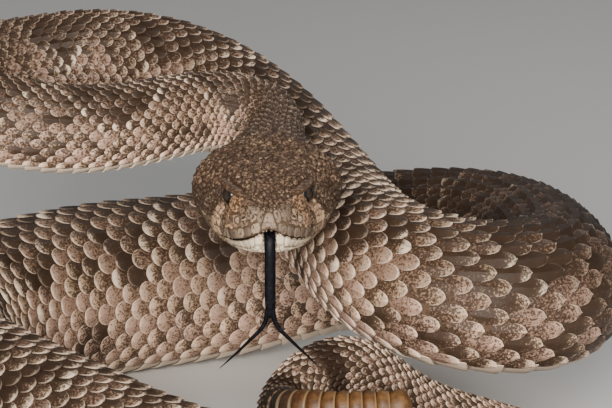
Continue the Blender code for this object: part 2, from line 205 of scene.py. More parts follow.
# %% The head's sections
SECTION_NAMES = ("ahead", "crown_up", "brow_out", "brow_up", "temple_out", "temple_up", "cheek_out")
SECTION_NAMES += ("cheek_up", "lip_out", "lip_up", "jaw_out", "jaw_up", "throat_up")
HEAD_SECTIONS = (
    (-17.5, 92.6, 8.5, 91.6, 13.2, 88.2, 14.6, 82.0, 12.4, 75.4, 8.0, 71.9, 71.4),
    (-12.0, 91.2, 9.6, 90.4, 16.2, 87.2, 18.0, 80.8, 15.6, 74.6, 10.5, 70.8, 70.1),
    (-6.0, 90.3, 10.2, 89.2, 15.0, 86.0, 17.2, 79.8, 14.9, 73.9, 11.0, 70.4, 69.6),
    (1.0, 89.2, 10.8, 87.1, 12.2, 85.0, 14.4, 79.0, 12.8, 73.4, 9.8, 70.6, 69.9),
    (8.0, 87.6, 9.6, 85.4, 9.7, 83.9, 11.5, 78.9, 10.4, 73.9, 8.2, 71.6, 71.1),
    (12.8, 86.3, 7.7, 84.9, 8.6, 83.2, 9.9, 79.2, 9.1, 74.7, 7.0, 72.6, 72.0),
    (17.8, 85.3, 5.4, 84.7, 6.6, 83.0, 7.7, 79.6, 7.5, 75.8, 5.4, 73.5, 72.8),
    (21.3, 84.4, 3.6, 84.3, 4.7, 82.7, 5.6, 80.0, 5.5, 77.0, 3.8, 74.2, 73.6),
    (23.1, 83.8, 2.1, 83.7, 3.1, 82.4, 3.8, 80.4, 3.7, 78.1, 2.5, 75.2, 74.7),
    (23.9, 83.0, 1.2, 83.0, 1.9, 82.1, 2.2, 80.8, 2.1, 78.9, 1.3, 77.0, 76.8),
)
HEAD_BACK = -17.5
MOUTH_CORNER = -9.5
SNOUT_TIP = 23.9
HEAD_HEIGHT = 82.0
HEAD_PIVOT = (0, 12, 82)
HEAD_YAW = math.radians(1.7)
HEAD_ROLL = math.radians(-1.0)
SOLID_EYE_PLACE = (9.3, 7.7, 84.6)  # ahead, out, up
EYE_PLACE = (8.7, 8.45, 84.4)
EYE_RADIUS = 2.4
HEAD_TURN = Matrix.Rotation(HEAD_YAW, 3, "Z") @ Matrix.Rotation(HEAD_ROLL, 3, "Y")
HEAD_SPLINE = natural_cubic(
    [section[0] for section in HEAD_SECTIONS], [section[1:] for section in HEAD_SECTIONS]
)


def turned(points):
    """Points of the straight head, where they are once the head is turned."""
    pivot = np.array(HEAD_PIVOT, float)
    return (np.asarray(points, float) - pivot) @ np.array(HEAD_TURN).T + pivot


def turned_back(points):
    """The reverse of turned."""
    pivot = np.array(HEAD_PIVOT, float)
    return (np.asarray(points, float) - pivot) @ np.array(HEAD_TURN) + pivot


def head_size(ahead):
    """The named sizes of the head at one place along it."""
    return dict(zip(SECTION_NAMES[1:], HEAD_SPLINE(ahead)[0]))


def along_curve(corners, first, last, count):
    """Evenly spaced points of a smooth curve through corners, from its corner first to its corner last."""
    reach = distances(corners)
    return natural_cubic(reach, corners)(np.linspace(reach[first], reach[last], count))


UPPER_NAMES = ("brow", "temple", "cheek", "lip")
UPPER_COUNT = 41
LOWER_COUNT = 22
GROOVE_COUNT = 2
RING_HALF = UPPER_COUNT + GROOVE_COUNT + LOWER_COUNT
RING_COUNT = 2 * RING_HALF - 2
LIP_GROOVE = 0.9
LOWER_LIP_INSET = 0.25


def upper_outline(size):
    """From the crown down to the upper lip, as (out, up)."""
    brow, temple, cheek, lip = ((size[f"{name}_out"], size[f"{name}_up"]) for name in UPPER_NAMES)
    corners = [(-brow[0], brow[1]), (0, size["crown_up"]), brow, temple, cheek, lip]
    return along_curve(corners, 1, 5, UPPER_COUNT)


def lower_outline(size, inset):
    """From the lower lip down to the throat, as (out, up)."""
    lip = (size["lip_out"] - inset, size["lip_up"] - inset)
    jaw, far_jaw = ((sign * size["jaw_out"], size["jaw_up"]) for sign in (1, -1))
    return along_curve([lip, jaw, (0, size["throat_up"]), far_jaw], 0, 2, LOWER_COUNT)


def head_ring(ahead):
    """The whole outline of the head at one place, with the groove of the mouth where it has one."""
    size = head_size(ahead)
    open_here = float(np.clip((ahead - MOUTH_CORNER) / 3, 0, 1))
    upper = upper_outline(size)
    lower = lower_outline(size, LOWER_LIP_INSET * open_here)
    lip = upper[-1]
    inward = np.array([-1.0, 0.0]) * LIP_GROOVE * open_here
    middle = (lip + lower[0]) / 2
    groove = np.array([lip * 0.4 + middle * 0.6 + inward, lower[0] * 0.4 + middle * 0.6 + inward])
    half = np.concatenate([upper, groove, lower])
    right = np.column_stack([half[:, 0], np.full(len(half), -ahead), half[:, 1]])
    left = right[-2:0:-1] * (-1, 1, 1)
    return turned(np.concatenate([right, left]))


print("points in each ring of the skin:", RING_COUNT)

# %% [markdown]
# Layout and frame differ by a shift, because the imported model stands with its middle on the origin. The
# left eye is in both, so it gives the shift. The camera looks 14 degrees down at the head through a long
# lens, 62 cm away.

# %% The shift and the camera
eye_low, eye_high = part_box("eye_left")
eye_in_layout = turned([(SOLID_EYE_PLACE[1], -SOLID_EYE_PLACE[0], SOLID_EYE_PLACE[2])])[0]
SHIFT = np.array((eye_low + eye_high) / 2) / MM - eye_in_layout

CAMERA_DROP = math.radians(14)
CAMERA_DISTANCE = 620.0
PICTURE_WIDTH, PICTURE_HEIGHT = 612, 408
HEAD_PIXEL = (266, 195)  # where the middle of the head shows in the photograph
PIXELS_PER_MM = 4.14
FOCAL_PIXELS = PIXELS_PER_MM * CAMERA_DISTANCE
SENSOR = 36.0

camera_right = np.array([1.0, 0.0, 0.0])
camera_ahead = np.array([0.0, math.cos(CAMERA_DROP), -math.sin(CAMERA_DROP)])
camera_up = np.array([0.0, math.sin(CAMERA_DROP), math.cos(CAMERA_DROP)])
off_right = (HEAD_PIXEL[0] - PICTURE_WIDTH / 2) / PIXELS_PER_MM
off_up = (HEAD_PIXEL[1] - PICTURE_HEIGHT / 2) / PIXELS_PER_MM
camera_place = np.array([0, 0, HEAD_HEIGHT]) - CAMERA_DISTANCE * camera_ahead
camera_place = camera_place - off_right * camera_right + off_up * camera_up + SHIFT

camera = bpy.data.objects.new("camera", bpy.data.cameras.new("camera"))
bpy.context.scene.collection.objects.link(camera)
camera.data.sensor_width = SENSOR
camera.data.lens = FOCAL_PIXELS / PICTURE_WIDTH * SENSOR
camera.data.clip_start = 0.02
camera.data.clip_end = 20
turn = Matrix([camera_right, camera_up, -camera_ahead]).transposed().to_4x4()
camera.matrix_world = Matrix.Translation(Vector(camera_place) * MM) @ turn
bpy.context.scene.camera = camera
print("shift in mm:", SHIFT.round(2), "lens:", round(camera.data.lens, 1))

# %% [markdown]
# Blender makes a mesh fastest from whole arrays of numbers. This helper takes the corners in millimetres,
# the faces as arrays of equal-sided faces, and extra values for each corner, which the materials read by
# name: marks holds how dark, pale and warm the marking is there, and spot holds the place from the root of
# a scale to its tip, how near its rim it is, and one random number for the whole scale. The snake has no
# joints, so every piece rides on its one body.

# %% A mesh from arrays
SHARP = math.radians(42)


def mesh_piece(name, points, faces, marks=None, spot=None, chart=None, sharp=SHARP):
    """A named piece from arrays. faces is a list of arrays of corner numbers, one array for each size."""
    mesh = bpy.data.meshes.new(name)
    points = (np.asarray(points, float) + SHIFT) * MM
    loops = np.concatenate([np.ravel(group) for group in faces]).astype(np.int32)
    totals = np.concatenate([np.full(len(group), np.shape(group)[1]) for group in faces])
    starts = np.concatenate([[0], np.cumsum(totals)[:-1]])
    mesh.vertices.add(len(points))
    mesh.vertices.foreach_set("co", points.astype(np.float32).ravel())
    mesh.loops.add(len(loops))
    mesh.loops.foreach_set("vertex_index", loops)
    mesh.polygons.add(len(totals))
    mesh.polygons.foreach_set("loop_start", starts.astype(np.int32))
    mesh.update(calc_edges=True)
    for label, values in (("marks", marks), ("spot", spot)):
        if values is not None:
            attribute = mesh.attributes.new(label, "FLOAT_VECTOR", "POINT")
            attribute.data.foreach_set("vector", np.asarray(values, np.float32).ravel())
    if chart is not None:
        layer = mesh.uv_layers.new(name="OFBake")
        layer.uv.foreach_set("vector", np.asarray(chart, np.float32)[loops].ravel())
    mesh.shade_smooth()
    if sharp:
        mesh.set_sharp_from_angle(angle=sharp)
    piece = bpy.data.objects.new(name, mesh)
    bpy.context.scene.collection.objects.link(piece)
    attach(piece, "root")
    return piece


def triangles(piece):
    """How many triangles the piece comes to."""
    return sum(len(face.vertices) - 2 for face in piece.data.polygons)


print("edges sharper than", round(math.degrees(SHARP)), "degrees stay sharp")

# %% [markdown]
# Nearly every piece here is a grid of points that is bent into shape: a tube is a stack of rings, a scale is
# a sheet with a strip round its edge. So the faces between the points are worked out once, by the points'
# numbers, and copied for as many shapes as there are.

# %% Faces between points
def every_pair(first, second):
    """Every pair of the values in two rows, as two flat arrays."""
    one, other = np.meshgrid(first, second, indexing="ij")
    return one.ravel(), other.ravel()


def grid_faces(rows, columns, wrap=False):
    """The quads between rows of points, as an array of corner numbers."""
    number = np.arange(rows * columns).reshape(rows, columns)
    after = np.roll(number, -1, axis=1) if wrap else number[:, 1:]
    here = number if wrap else number[:, :-1]
    return np.stack([here[:-1], after[:-1], after[1:], here[1:]], axis=-1).reshape(-1, 4)


def tube_faces(rows, columns, flip=False):
    """The side of a tube of rings, and its two flat ends."""
    first = np.arange(columns)
    faces = [grid_faces(rows, columns, wrap=True), np.stack([first[::-1], first + (rows - 1) * columns])]
    return [group[:, ::-1] for group in faces] if flip else faces


def sheet_faces(rows, columns):
    """A closed sheet: its top, its underside with numbers that follow on, and the strip between them."""
    top = grid_faces(rows, columns)
    size = rows * columns
    number = np.arange(size).reshape(rows, columns)
    edge = np.concatenate([number[0], number[1:, -1], number[-1, -2::-1], number[-2:0:-1, 0]])
    after = np.roll(edge, -1)
    strip = np.stack([after, edge, edge + size, after + size], axis=-1)
    return np.concatenate([top, top[:, ::-1] + size, strip])


def round_angles(count):
    """Angles evenly spaced all the way round."""
    return np.linspace(0, math.tau, count, endpoint=False)


def rings_round(line, across, over, widths, heights, sides, rises):
    """Rings round the places of a line, all of the outline that sides and rises give."""
    ring = across[:, None] * (sides[None, :, None] * widths[:, None, None])
    ring = ring + over[:, None] * (rises[None, :, None] * heights[:, None, None])
    return (line[:, None] + ring).reshape(-1, 3)


def repeated(faces, count, each):
    """The same faces for many like shapes of each points, one after the other."""
    offset = (np.arange(count) * each)[:, None, None]
    return (faces[None] + offset).reshape(-1, faces.shape[1])


def joined(shapes):
    """Several shapes as one. A shape is its points, a list of faces and the spots of its points, or None."""
    groups = [[] for _ in shapes[0][1]]
    start = 0
    for points, faces, _ in shapes:
        for group, own in zip(groups, faces):
            group.append(own + start)
        start += len(points)
    points = np.concatenate([shape[0] for shape in shapes])
    spots = None if shapes[0][2] is None else np.concatenate([shape[2] for shape in shapes])
    return points, [np.concatenate(group) for group in groups], spots


print("a sheet of 2 by 2 points has", len(sheet_faces(2, 2)), "faces")

# %% [markdown]
# The markings are those of the species: dark brown diamonds down the back with darker rims, each rim
# bordered by scales with white tips, grey and tan between them, smaller spots along the flank and a cream
# belly. Three reaches of the body also get painted shade, darker where the coils lie in shadow. They are
# worked out from the distance along the body and round it, so skin and scales agree.

# %% The markings of the body
DIAMOND_PITCH = 35.0
DIAMOND_HALF_LENGTH = 14.5
DIAMOND_HALF_WIDTH = 0.42  # as a share of the way from the spine to the belly
DIAMOND_POWER = 1.25  # 1 gives a diamond its straight sides, 2 would make it an ellipse
DIAMOND_START = 60.0
WANDER = ((2.2, 2.4), (1.5, 5.1))  # how far the diamonds stray from an even pitch, in two waves
FLANK_SPOT_SHARE = 0.60
FLANK_SPOT_HALF = (7.0, 0.10)  # mm along, share round
BELLY_SHARE = 0.77  # where the belly plates start
# painted shade: over these reaches of the body the markings are darkened where the coils lie in shadow
PAINTED_SHADE_REACHES = ((60.0, 275.0, 0.26), (350.0, 500.0, 0.42), (690.0, 830.0, 0.12))  # mm from, to, how much
DARKEST = 0.93


def smooth_step(low, high, x):
    """From 0 at low to 1 at high, without a corner."""
    t = np.clip((x - low) / (high - low), 0, 1)
    return t * t * (3 - 2 * t)


def fade(low, high, x):
    """From 1 at low to 0 at high, without a corner."""
    return 1 - smooth_step(low, high, x)


def patches(along, share, size_mm, size_share, seed):
    """Soft random patches over the body, from 0 to 1, of about the given sizes."""
    x, y = along / size_mm, share / size_share
    column, row = np.floor(x), np.floor(y)

    def corner(dx, dy):
        mixed_up = np.sin((column + dx) * 127.1 + (row + dy) * 311.7 + seed * 74.7) * 43758.5453
        return mixed_up - np.floor(mixed_up)

    u, v = smooth_step(0, 1, x - column), smooth_step(0, 1, y - row)
    near = corner(0, 0) * (1 - u) + corner(1, 0) * u
    far = corner(0, 1) * (1 - u) + corner(1, 1) * u
    return near * (1 - v) + far * v


def body_marks(along, share, chance):
    """How dark, pale and warm each place is. chance is a random number from 0 to 1 for each scale."""
    cluster = patches(along, share, 9.0, 0.13, 1)
    drift = patches(along, share, 16.0, 0.25, 2) - 0.5
    share = np.abs(share)
    number = np.round((along - DIAMOND_START) / DIAMOND_PITCH)
    wander = sum(far * np.sin(number * wave) for far, wave in WANDER)
    off = np.abs(along - (DIAMOND_START + number * DIAMOND_PITCH + wander)) / DIAMOND_HALF_LENGTH
    reach = off**DIAMOND_POWER + (share / DIAMOND_HALF_WIDTH) ** DIAMOND_POWER
    reach = reach ** (1 / DIAMOND_POWER) + 0.18 * drift
    inside = fade(0.88, 1.02, reach)
    rim = smooth_step(0.62, 0.84, reach) * fade(0.98, 1.1, reach)
    blotch = smooth_step(0.42, 0.66, 0.6 * cluster + 0.4 * chance)
    dark = inside * (0.26 + 0.24 * chance + 0.3 * blotch) + rim * (0.2 + 0.7 * blotch)
    border = smooth_step(0.96, 1.06, reach) * fade(1.16, 1.34, reach)
    pale = border * (0.15 + 0.6 * (chance > 0.62))
    half = np.round((along - DIAMOND_START) / DIAMOND_PITCH - 0.5) + 0.5
    side_off = (along - (DIAMOND_START + half * DIAMOND_PITCH + 3 * drift)) / FLANK_SPOT_HALF[0]
    side_reach = np.hypot(side_off, (share - FLANK_SPOT_SHARE) / FLANK_SPOT_HALF[1])
    spot = fade(0.6, 1.25, side_reach) * (0.2 + 0.5 * blotch)
    freckle = smooth_step(0.70, 0.86, 0.62 * cluster + 0.38 * chance)
    freckle = freckle * fade(0.55, 0.72, share)
    dark = np.maximum(np.maximum(dark, spot), 0.7 * freckle)
    dark = np.maximum(dark, 0.25 * fade(0.1, 0.5, share) + 0.2 * chance)
    # painted shade over the reaches of the body that lie in shadow
    for start, end, more in PAINTED_SHADE_REACHES:
        rising, falling = smooth_step(start, start + 25, along), smooth_step(end + 25, end, along)
        dark = dark + more * rising * falling * (0.4 + 0.6 * chance)
    warm = smooth_step(0.25, BELLY_SHARE, share) * (0.8 + 0.4 * drift)
    belly = smooth_step(BELLY_SHARE - 0.10, BELLY_SHARE + 0.03, share)
    pale = np.maximum(pale, belly * 0.8)
    dark = dark * (1 - 0.85 * belly)
    return np.stack([np.clip(dark, 0, DARKEST), np.clip(pale, 0, 1), np.clip(warm, 0, 1)], axis=-1)


print("diamonds down the back:", round((TAIL_START - DIAMOND_START) / DIAMOND_PITCH))

# %% [markdown]
# The tail of the species looks like another animal's: ash grey, with black bands all the way round it. The
# bands are counted back from the root of the rattle, which is black as well.

# %% The bands of the tail
TAIL_BANDS = ((17.0, 3.0, 1.0), (31.0, 2.8, 0.6), (45.0, 3.0, 0.6))  # mm before the rattle, half width, depth
BLACK_ROOT = 8.5


def tail_marks(along, marks, chance):
    """The markings with those of the tail laid over them."""
    to_go = BODY_END - along
    ash = smooth_step(TAIL_START + 8, TAIL_START + 26, along)
    band = 0.28 + 0.4 * chance**2
    for place, half, depth_here in TAIL_BANDS:
        here = depth_here * fade(0.75, 1.15, np.abs(to_go - place) / half)
        band = np.maximum(band, here * np.where(depth_here < 1, 0.2 + 1.1 * chance, 1))
    band = np.maximum(band, 1.0 - smooth_step(BLACK_ROOT - 1.5, BLACK_ROOT, to_go))
    band = np.clip(band, 0, 1)
    tail = np.stack([band, 0.12 * (1 - band), 0.5 * (1 - band)], axis=-1)
    return marks * (1 - ash[:, None]) + tail * ash[:, None]


print("bands on the tail:", len(TAIL_BANDS), "and the black root")

# %% [markdown]
# Every body piece shares one flat map of the skin for the export, which the scales sit on as tiny patches.
# The body is far longer than it is round, so the map is cut into strips, laid one above the other.

# %% The flat map of the skin
STRIPS = 8
MAP_START = -30.0
STRIP_LENGTH = (BODY_END + 5 - MAP_START) / STRIPS
PATCH = 0.003


def on_map(along, share):
    """Where a place of the skin lies on the flat map. share runs from -1 to 1 round the body."""
    strip = np.floor((along - MAP_START) / STRIP_LENGTH)
    u = (along - MAP_START) / STRIP_LENGTH - strip
    v = (strip + 0.5 + 0.46 * share) / STRIPS
    return np.stack([0.01 + 0.98 * u, v], axis=-1)


print("one strip of the map holds", round(STRIP_LENGTH), "mm of snake")

# %% [markdown]
# The skin is one closed surface from the snout to the root of the rattle. It could be a boolean union of
# the solids, but that leaves seams. Rings of equally many points, all the way along, give one clean sheet
# and let the head run into the neck without a join. It lies inside the solids by the depth of the scales.

# %% The skin
HEAD_INSET = 0.22
BODY_INSET = 0.8
HEAD_RING_STEP = 0.36
BODY_RING_STEP = 2.6
NOTCH_HALF_WIDTH, NOTCH_TOP, NOTCH_BOTTOM, NOTCH_DEPTH = 1.4, 79.2, 75.9, 3.0
NOTCH_BACK = 18  # nothing further back than this is in the notch
PIT_PLACE = (17.0, 7.2, 80.25)
PIT_RADIUS = 1.2
NOSTRIL_PLACE = (19.9, 5.9, 81.5)
NOSTRIL_RADIUS = 0.62
SNOUT_CAP = ((0.08, 0.62), (0.3, 0.58), (0.55, 0.46), (0.78, 0.26))  # share of the last ring, mm ahead of it
COLLAR_RINGS = 6  # between the back of the head and the neck


def on_head(place, side):
    """A place given as ahead, out and up, on the side of the head that side names (1 or -1)."""
    ahead, out, up = place
    return turned([(side * out, -ahead, up)])[0]


def skin_rings():
    """All rings from the snout to the rattle, with the distance along and the share round of each point."""
    rings, reach = [], []
    tip = head_ring(SNOUT_TIP)
    middle = tip.mean(axis=0)
    for scale, forward in SNOUT_CAP:
        ring = middle + (tip - middle) * scale
        ring[:, 1] -= forward
        rings.append(ring)
        reach.append(-SNOUT_TIP - forward)
    count = round((SNOUT_TIP - HEAD_BACK) / HEAD_RING_STEP)
    for ahead in np.linspace(SNOUT_TIP, HEAD_BACK, count + 1):
        rings.append(head_ring(ahead))
        reach.append(-ahead)
    back = rings[-1]
    head_angles = np.arctan2(back[:, 0], back[:, 2] - HEAD_HEIGHT)
    shares = np.linspace(0, 2, RING_COUNT, endpoint=False)
    shares = np.where(shares > 1, shares - 2, shares)
    even = angle_at(shares)
    even[RING_HALF - 1] = math.pi
    head_angles[RING_HALF - 1] = math.pi
    collar = body_point(np.full(RING_COUNT, BODY_START), head_angles, 0)
    for t in np.linspace(0, 1, COLLAR_RINGS + 2)[1:-1]:
        rings.append(back * (1 - t) + collar * t)
        reach.append(-HEAD_BACK + (BODY_START + HEAD_BACK) * t)
    steps = round((BODY_END - BODY_START) / BODY_RING_STEP)
    for along in np.linspace(BODY_START, BODY_END + 3.0, steps + 1):
        relax = smooth_step(BODY_START, BODY_START + 22, np.array(along))
        angles = head_angles * (1 - relax) + even * relax
        rings.append(body_point(np.full(RING_COUNT, along), angles, 0))
        reach.append(along)
    return np.array(rings), np.array(reach), shares


def soften(rings, reach, start, end, rounds):
    """Irons the rings between two distances, so that the head runs smoothly into the neck."""
    near = smooth_step(start - 3, start + 3, reach) * fade(end - 3, end + 3, reach)
    for _ in range(rounds):
        mean = rings.copy()
        mean[1:-1] = (rings[:-2] + rings[2:]) / 2
        rings = rings + (mean - rings) * (0.5 * near)[:, None, None]
    return rings


def outward(points, rings, columns):
    """The outward direction at each point of a stack of rings."""
    grid = points.reshape(rings, columns, 3)
    along = np.gradient(grid, axis=0)
    around = np.roll(grid, -1, axis=1) - np.roll(grid, 1, axis=1)
    normal = unit(np.cross(around, along))
    middle = grid.mean(axis=1, keepdims=True)
    if np.mean(np.sum(normal * (grid - middle), axis=-1)) < 0:
        normal = -normal
    return normal.reshape(-1, 3)


rings, reach, shares = skin_rings()
rings = soften(rings, reach, start=14, end=40, rounds=40)
ring_number, per_ring = rings.shape[:2]
skin_points = rings.reshape(-1, 3)
skin_out = outward(skin_points, ring_number, per_ring)
skin_reach = np.repeat(reach, per_ring)
skin_share = np.tile(shares, ring_number)
depth = HEAD_INSET + (BODY_INSET - HEAD_INSET) * smooth_step(14, 34, skin_reach)
skin_points = skin_points - skin_out * depth[:, None]
print("skin rings:", ring_number, "points:", len(skin_points))

# %% [markdown]
# The eyes, the heat pits and the nostrils lie in hollows, and the tongue leaves through a notch in the upper
# lip. A boolean cut would leave hard edges there. Instead the skin's points near such a place are pushed in,
# most at its middle, and the sheet stays whole.

# %% The hollows of the head
HOLLOWS = (
    (PIT_PLACE, PIT_RADIUS * 1.25, 1.0),
    (NOSTRIL_PLACE, NOSTRIL_RADIUS * 1.9, 1.1),
    (EYE_PLACE, EYE_RADIUS * 1.15, 0.7),
)  # place, radius and depth


def dent(points, out, place, radius, deep):
    """Pushes in the points round a place, most at its middle."""
    near = np.linalg.norm(points - place, axis=1) / radius
    push = deep * np.clip(1 - near**2, 0, 1)
    return points - out * push[:, None]


for side in (-1, 1):
    for place, radius, deep in HOLLOWS:
        skin_points = dent(skin_points, skin_out, on_head(place, side), radius, deep)
straight = turned_back(skin_points)
in_notch = fade(0.85, 1.15, np.abs(straight[:, 0]) / NOTCH_HALF_WIDTH)
in_notch *= straight[:, 1] < -NOTCH_BACK
in_notch *= smooth_step(NOTCH_BOTTOM - 0.5, NOTCH_BOTTOM + 0.3, straight[:, 2])
in_notch *= fade(NOTCH_TOP - 0.4, NOTCH_TOP + 0.3, straight[:, 2])
skin_points[:, 1] += NOTCH_DEPTH * in_notch
skin_points[:, 2] = np.maximum(skin_points[:, 2], FLOOR_GAP)
print("points in the notch of the lip:", int((in_notch > 0.5).sum()))

# %% [markdown]
# The head is coloured by its regions. The crown, down to a V between the eyes, is dark brown; the snout's
# plates are grey and orange-tan; a pale stripe runs down from each eye to the lip; lips and chin are cream.
# The back of the lower jaw, under the cheek, and a ring round each eye are darkened as painted shade.
# The face is laid out as someone sees it who looks it straight in the eyes from 14 degrees above, so out is
# measured from the midline and rise square to that line of sight.

# %% The markings of the head
CROWN_EDGE = ((0, -3.3), (1.6, -2.8), (3.3, -1.5), (5.9, -0.4), (9.6, 1.5), (11.5, 2.6), (25, 4.0))
STRIPE_AT_EYE, EYE_LEVEL, STRIPE_LEAN = 9.6, 84, 0.62
SECOND_STRIPE_BACK = 7.2


def face_place(points):
    """The out and rise of points on the head, and how far ahead and up they are."""
    flat = turned_back(points)
    out = np.abs(flat[:, 0])
    rise = flat[:, 1] * math.sin(CAMERA_DROP) + (flat[:, 2] - HEAD_HEIGHT) * math.cos(CAMERA_DROP)
    return out, rise, -flat[:, 1], flat[:, 2]


def head_marks(points, chance):
    """How dark, pale and warm each place of the head is."""
    out, rise, ahead, up = face_place(points)
    edge = np.interp(out, [p[0] for p in CROWN_EDGE], [p[1] for p in CROWN_EDGE])
    crown = smooth_step(-0.35, 0.35, rise - edge)
    behind = smooth_step(8, 2, ahead)
    lip_up = np.interp(ahead, [s[0] for s in HEAD_SECTIONS], [s[9] for s in HEAD_SECTIONS])
    above_lip = up - lip_up
    chin = fade(-0.5, 0.1, above_lip)
    # painted shade on the back of the lower jaw, where it lies under the cheek; its own colour is the cream
    # of the chin
    jaw = chin * smooth_step(12, 4, ahead) * smooth_step(-4.5, -2.5, above_lip)
    lip = fade(3.2, 5.0, above_lip)
    stripe_ahead = STRIPE_AT_EYE - STRIPE_LEAN * (EYE_LEVEL - up)
    stripe = fade(2.0, 3.4, np.abs(ahead - stripe_ahead))
    stripe *= fade(82.8, 84.2, up) * (1 - crown)
    second = fade(0.8, 1.7, np.abs(ahead - (stripe_ahead - SECOND_STRIPE_BACK)))
    second *= fade(84.5, 86, up) * (1 - crown) * 0.5
    face = smooth_step(9.5, 13, ahead) * (1 - crown) * (1 - chin)
    cheek = (1 - face) * (1 - crown) * (1 - chin)
    dark = 0.52 * crown + cheek * (0.58 + 0.25 * chance) + face * (0.22 + 0.22 * chance)
    pale = 0.05 * lip * (1 - chin) * smooth_step(-6, 6, ahead) + (0.62 + 0.2 * chance) * chin
    pale = pale + (0.02 + 0.16 * chance) * stripe + 0.1 * second
    warm = face * smooth_step(21.5, 15, ahead) * smooth_step(1.8, 3.2, above_lip) * (0.35 + 0.65 * chance)
    warm = warm + (0.5 + 0.4 * chance) * stripe + 0.3 * crown
    pale = np.maximum(pale, 0.06 * face * smooth_step(18.5, 22.6, ahead))
    dark = dark * (1 - 0.75 * stripe) * (1 - 0.6 * lip * smooth_step(-12, 2, ahead)) * (1 - chin)
    dark = dark * (1 - 0.4 * behind * (1 - crown) * second) + jaw * (0.35 + 0.35 * chance)
    pale = pale * (1 - 0.75 * jaw)
    # painted shade: a dark ring round each eye, in its hollow
    round_eye = np.hypot(ahead - EYE_PLACE[0], up - EYE_PLACE[2])
    dark = np.maximum(dark, 0.75 * fade(EYE_RADIUS, EYE_RADIUS + 0.9, round_eye))
    return np.stack([np.clip(dark, 0, 1), np.clip(pale, 0, 1), np.clip(warm, 0, 1)], axis=-1)


HEAD_MARKS_END = 20.0


def all_marks(points, along, share, chance):
    """The markings anywhere on the skin: those of the head, the body or the tail."""
    head = smooth_step(HEAD_MARKS_END + 6, HEAD_MARKS_END - 6, along)[:, None]
    body = tail_marks(along, body_marks(along, share, chance), chance)
    neck = smooth_step(70, 40, along)[:, None]
    plain = np.stack([0.45 + 0.2 * chance, 0.1 + 0 * chance, 0.2 + 0 * chance], axis=-1)
    belly = smooth_step(BELLY_SHARE - 0.12, BELLY_SHARE + 0.03, np.abs(share))[:, None]
    plain = plain * (1 - belly) + np.array([0.0, 0.85, 0.5]) * belly
    body = body * (1 - neck) + plain * neck
    return head_marks(points, chance) * head + body * (1 - head)


print("the crown's dark edge is drawn through", len(CROWN_EDGE), "places")

# %% [markdown]
# Now that every place knows its marking, the rings become a mesh. Its flat map is cut along the belly and
# across at the end of each strip, so a quad takes its strip from its nearest corner.

# %% The skin's mesh
GROOVE_COLUMNS = [UPPER_COUNT, UPPER_COUNT + 1, per_ring - UPPER_COUNT, per_ring - UPPER_COUNT - 1]
in_groove = np.isin(np.arange(len(skin_points)) % per_ring, GROOVE_COLUMNS)
past_corner = smooth_step(-MOUTH_CORNER - 2, -MOUTH_CORNER + 1, skin_reach)
# painted shade: the groove of the mouth and the notch for the tongue are marked fully dark
mouth_painted_shade = np.maximum(in_notch, in_groove * (1 - past_corner))[:, None]
skin_marks = all_marks(skin_points, skin_reach, skin_share, np.full(len(skin_points), 0.5))
skin_marks = skin_marks * (1 - mouth_painted_shade) + np.array([1.0, 0.0, 0.0]) * mouth_painted_shade
skin_spot = np.tile((0.0, 0.0, 0.5), (len(skin_points), 1))
skin_faces = tube_faces(ring_number, per_ring, flip=True)
skin = mesh_piece("skin", skin_points, skin_faces, skin_marks, skin_spot, sharp=None)
corner_reach = skin_reach[skin_faces[0]]
corner_share = skin_share[skin_faces[0]].copy()
crosses_belly = (corner_share.max(axis=1) - corner_share.min(axis=1)) > 1
corner_share[crosses_belly] = (1.0, -1.0, -1.0, 1.0)
strip = np.floor((corner_reach.min(axis=1) - MAP_START) / STRIP_LENGTH)[:, None]
strip_u = 0.01 + 0.98 * np.clip((corner_reach - MAP_START) / STRIP_LENGTH - strip, 0, 1)
strip_v = (strip + 0.5 + 0.46 * corner_share) / STRIPS
end_uv = np.full((2 * per_ring, 2), 0.002)
strip_uv = np.concatenate([np.stack([strip_u, strip_v], axis=-1).reshape(-1, 2), end_uv])
strip_layer = skin.data.uv_layers.new(name="OFBake")
strip_layer.uv.foreach_set("vector", strip_uv.astype(np.float32).ravel())
print("skin triangles:", triangles(skin))

# %% [markdown]
# A diamondback has about 25 rows of scales round its body, each scale a pointed oval with a keel along its
# middle, its root under the scales before it and its tip free. They could be an array modifier on a curve,
# but then all would be alike and the inside of each bend would break. So first each scale gets a seed: where
# it starts, how far round the body it lies and how far it is to the next one of its row.

# %% Seeds of the body scales
ROWS = 25
PITCH_BASE, PITCH_PER_GIRTH, PITCH_MOST = 1.3, 0.225, 6.4


def pitch(along):
    """How far apart the scales of one row are, which follows the girth."""
    half_width, _ = girth(along)
    return np.minimum(PITCH_BASE + PITCH_PER_GIRTH * half_width, PITCH_MOST)


def stations(start, end):
    """The places along the body where a row of scales or a belly plate starts."""
    places = [start]
    while places[-1] < end:
        places.append(places[-1] + float(pitch(places[-1])))
    return np.array(places)


def scale_seeds():
    """The start, share and pitch of every scale on the back and flanks, from the head to the rattle."""
    places = stations(HEAD_MARKS_END - 2, BODY_END + 1.5)
    seeds = []
    for row in range(ROWS):
        share = (row - (ROWS - 1) / 2) / ROWS * 2 * BELLY_SHARE
        for place, gap in zip(places, np.diff(places)):
            seeds.append((place + (gap / 2 if row % 2 else 0), share, gap))
    seeds = np.array(seeds)
    return seeds[np.argsort(seeds[:, 0], kind="stable")]


seeds = scale_seeds()
print("body scales:", len(seeds))

# %% [markdown]
# A grid of points that is pressed onto the body becomes closed scales: each point is lifted off the skin by
# its own height, and the outer edges are repeated a little lower, which gives each scale its thickness. Near
# the head the skin is wider than the body's formula, so there the points are moved out onto the skin itself.

# %% From a flat grid to closed scales
SCALE_THICKNESS = 0.22
NECK_ZONE = (40.0, 58.0)  # up to here the scales sit on the skin, and from there on the formula
neck_rows = int(np.sum(reach < NECK_ZONE[1] + 20))
neck_quads = grid_faces(neck_rows, per_ring, wrap=True)[:, ::-1]
neck_tree = BVHTree.FromPolygons(skin_points[: neck_rows * per_ring].tolist(), neck_quads.tolist())


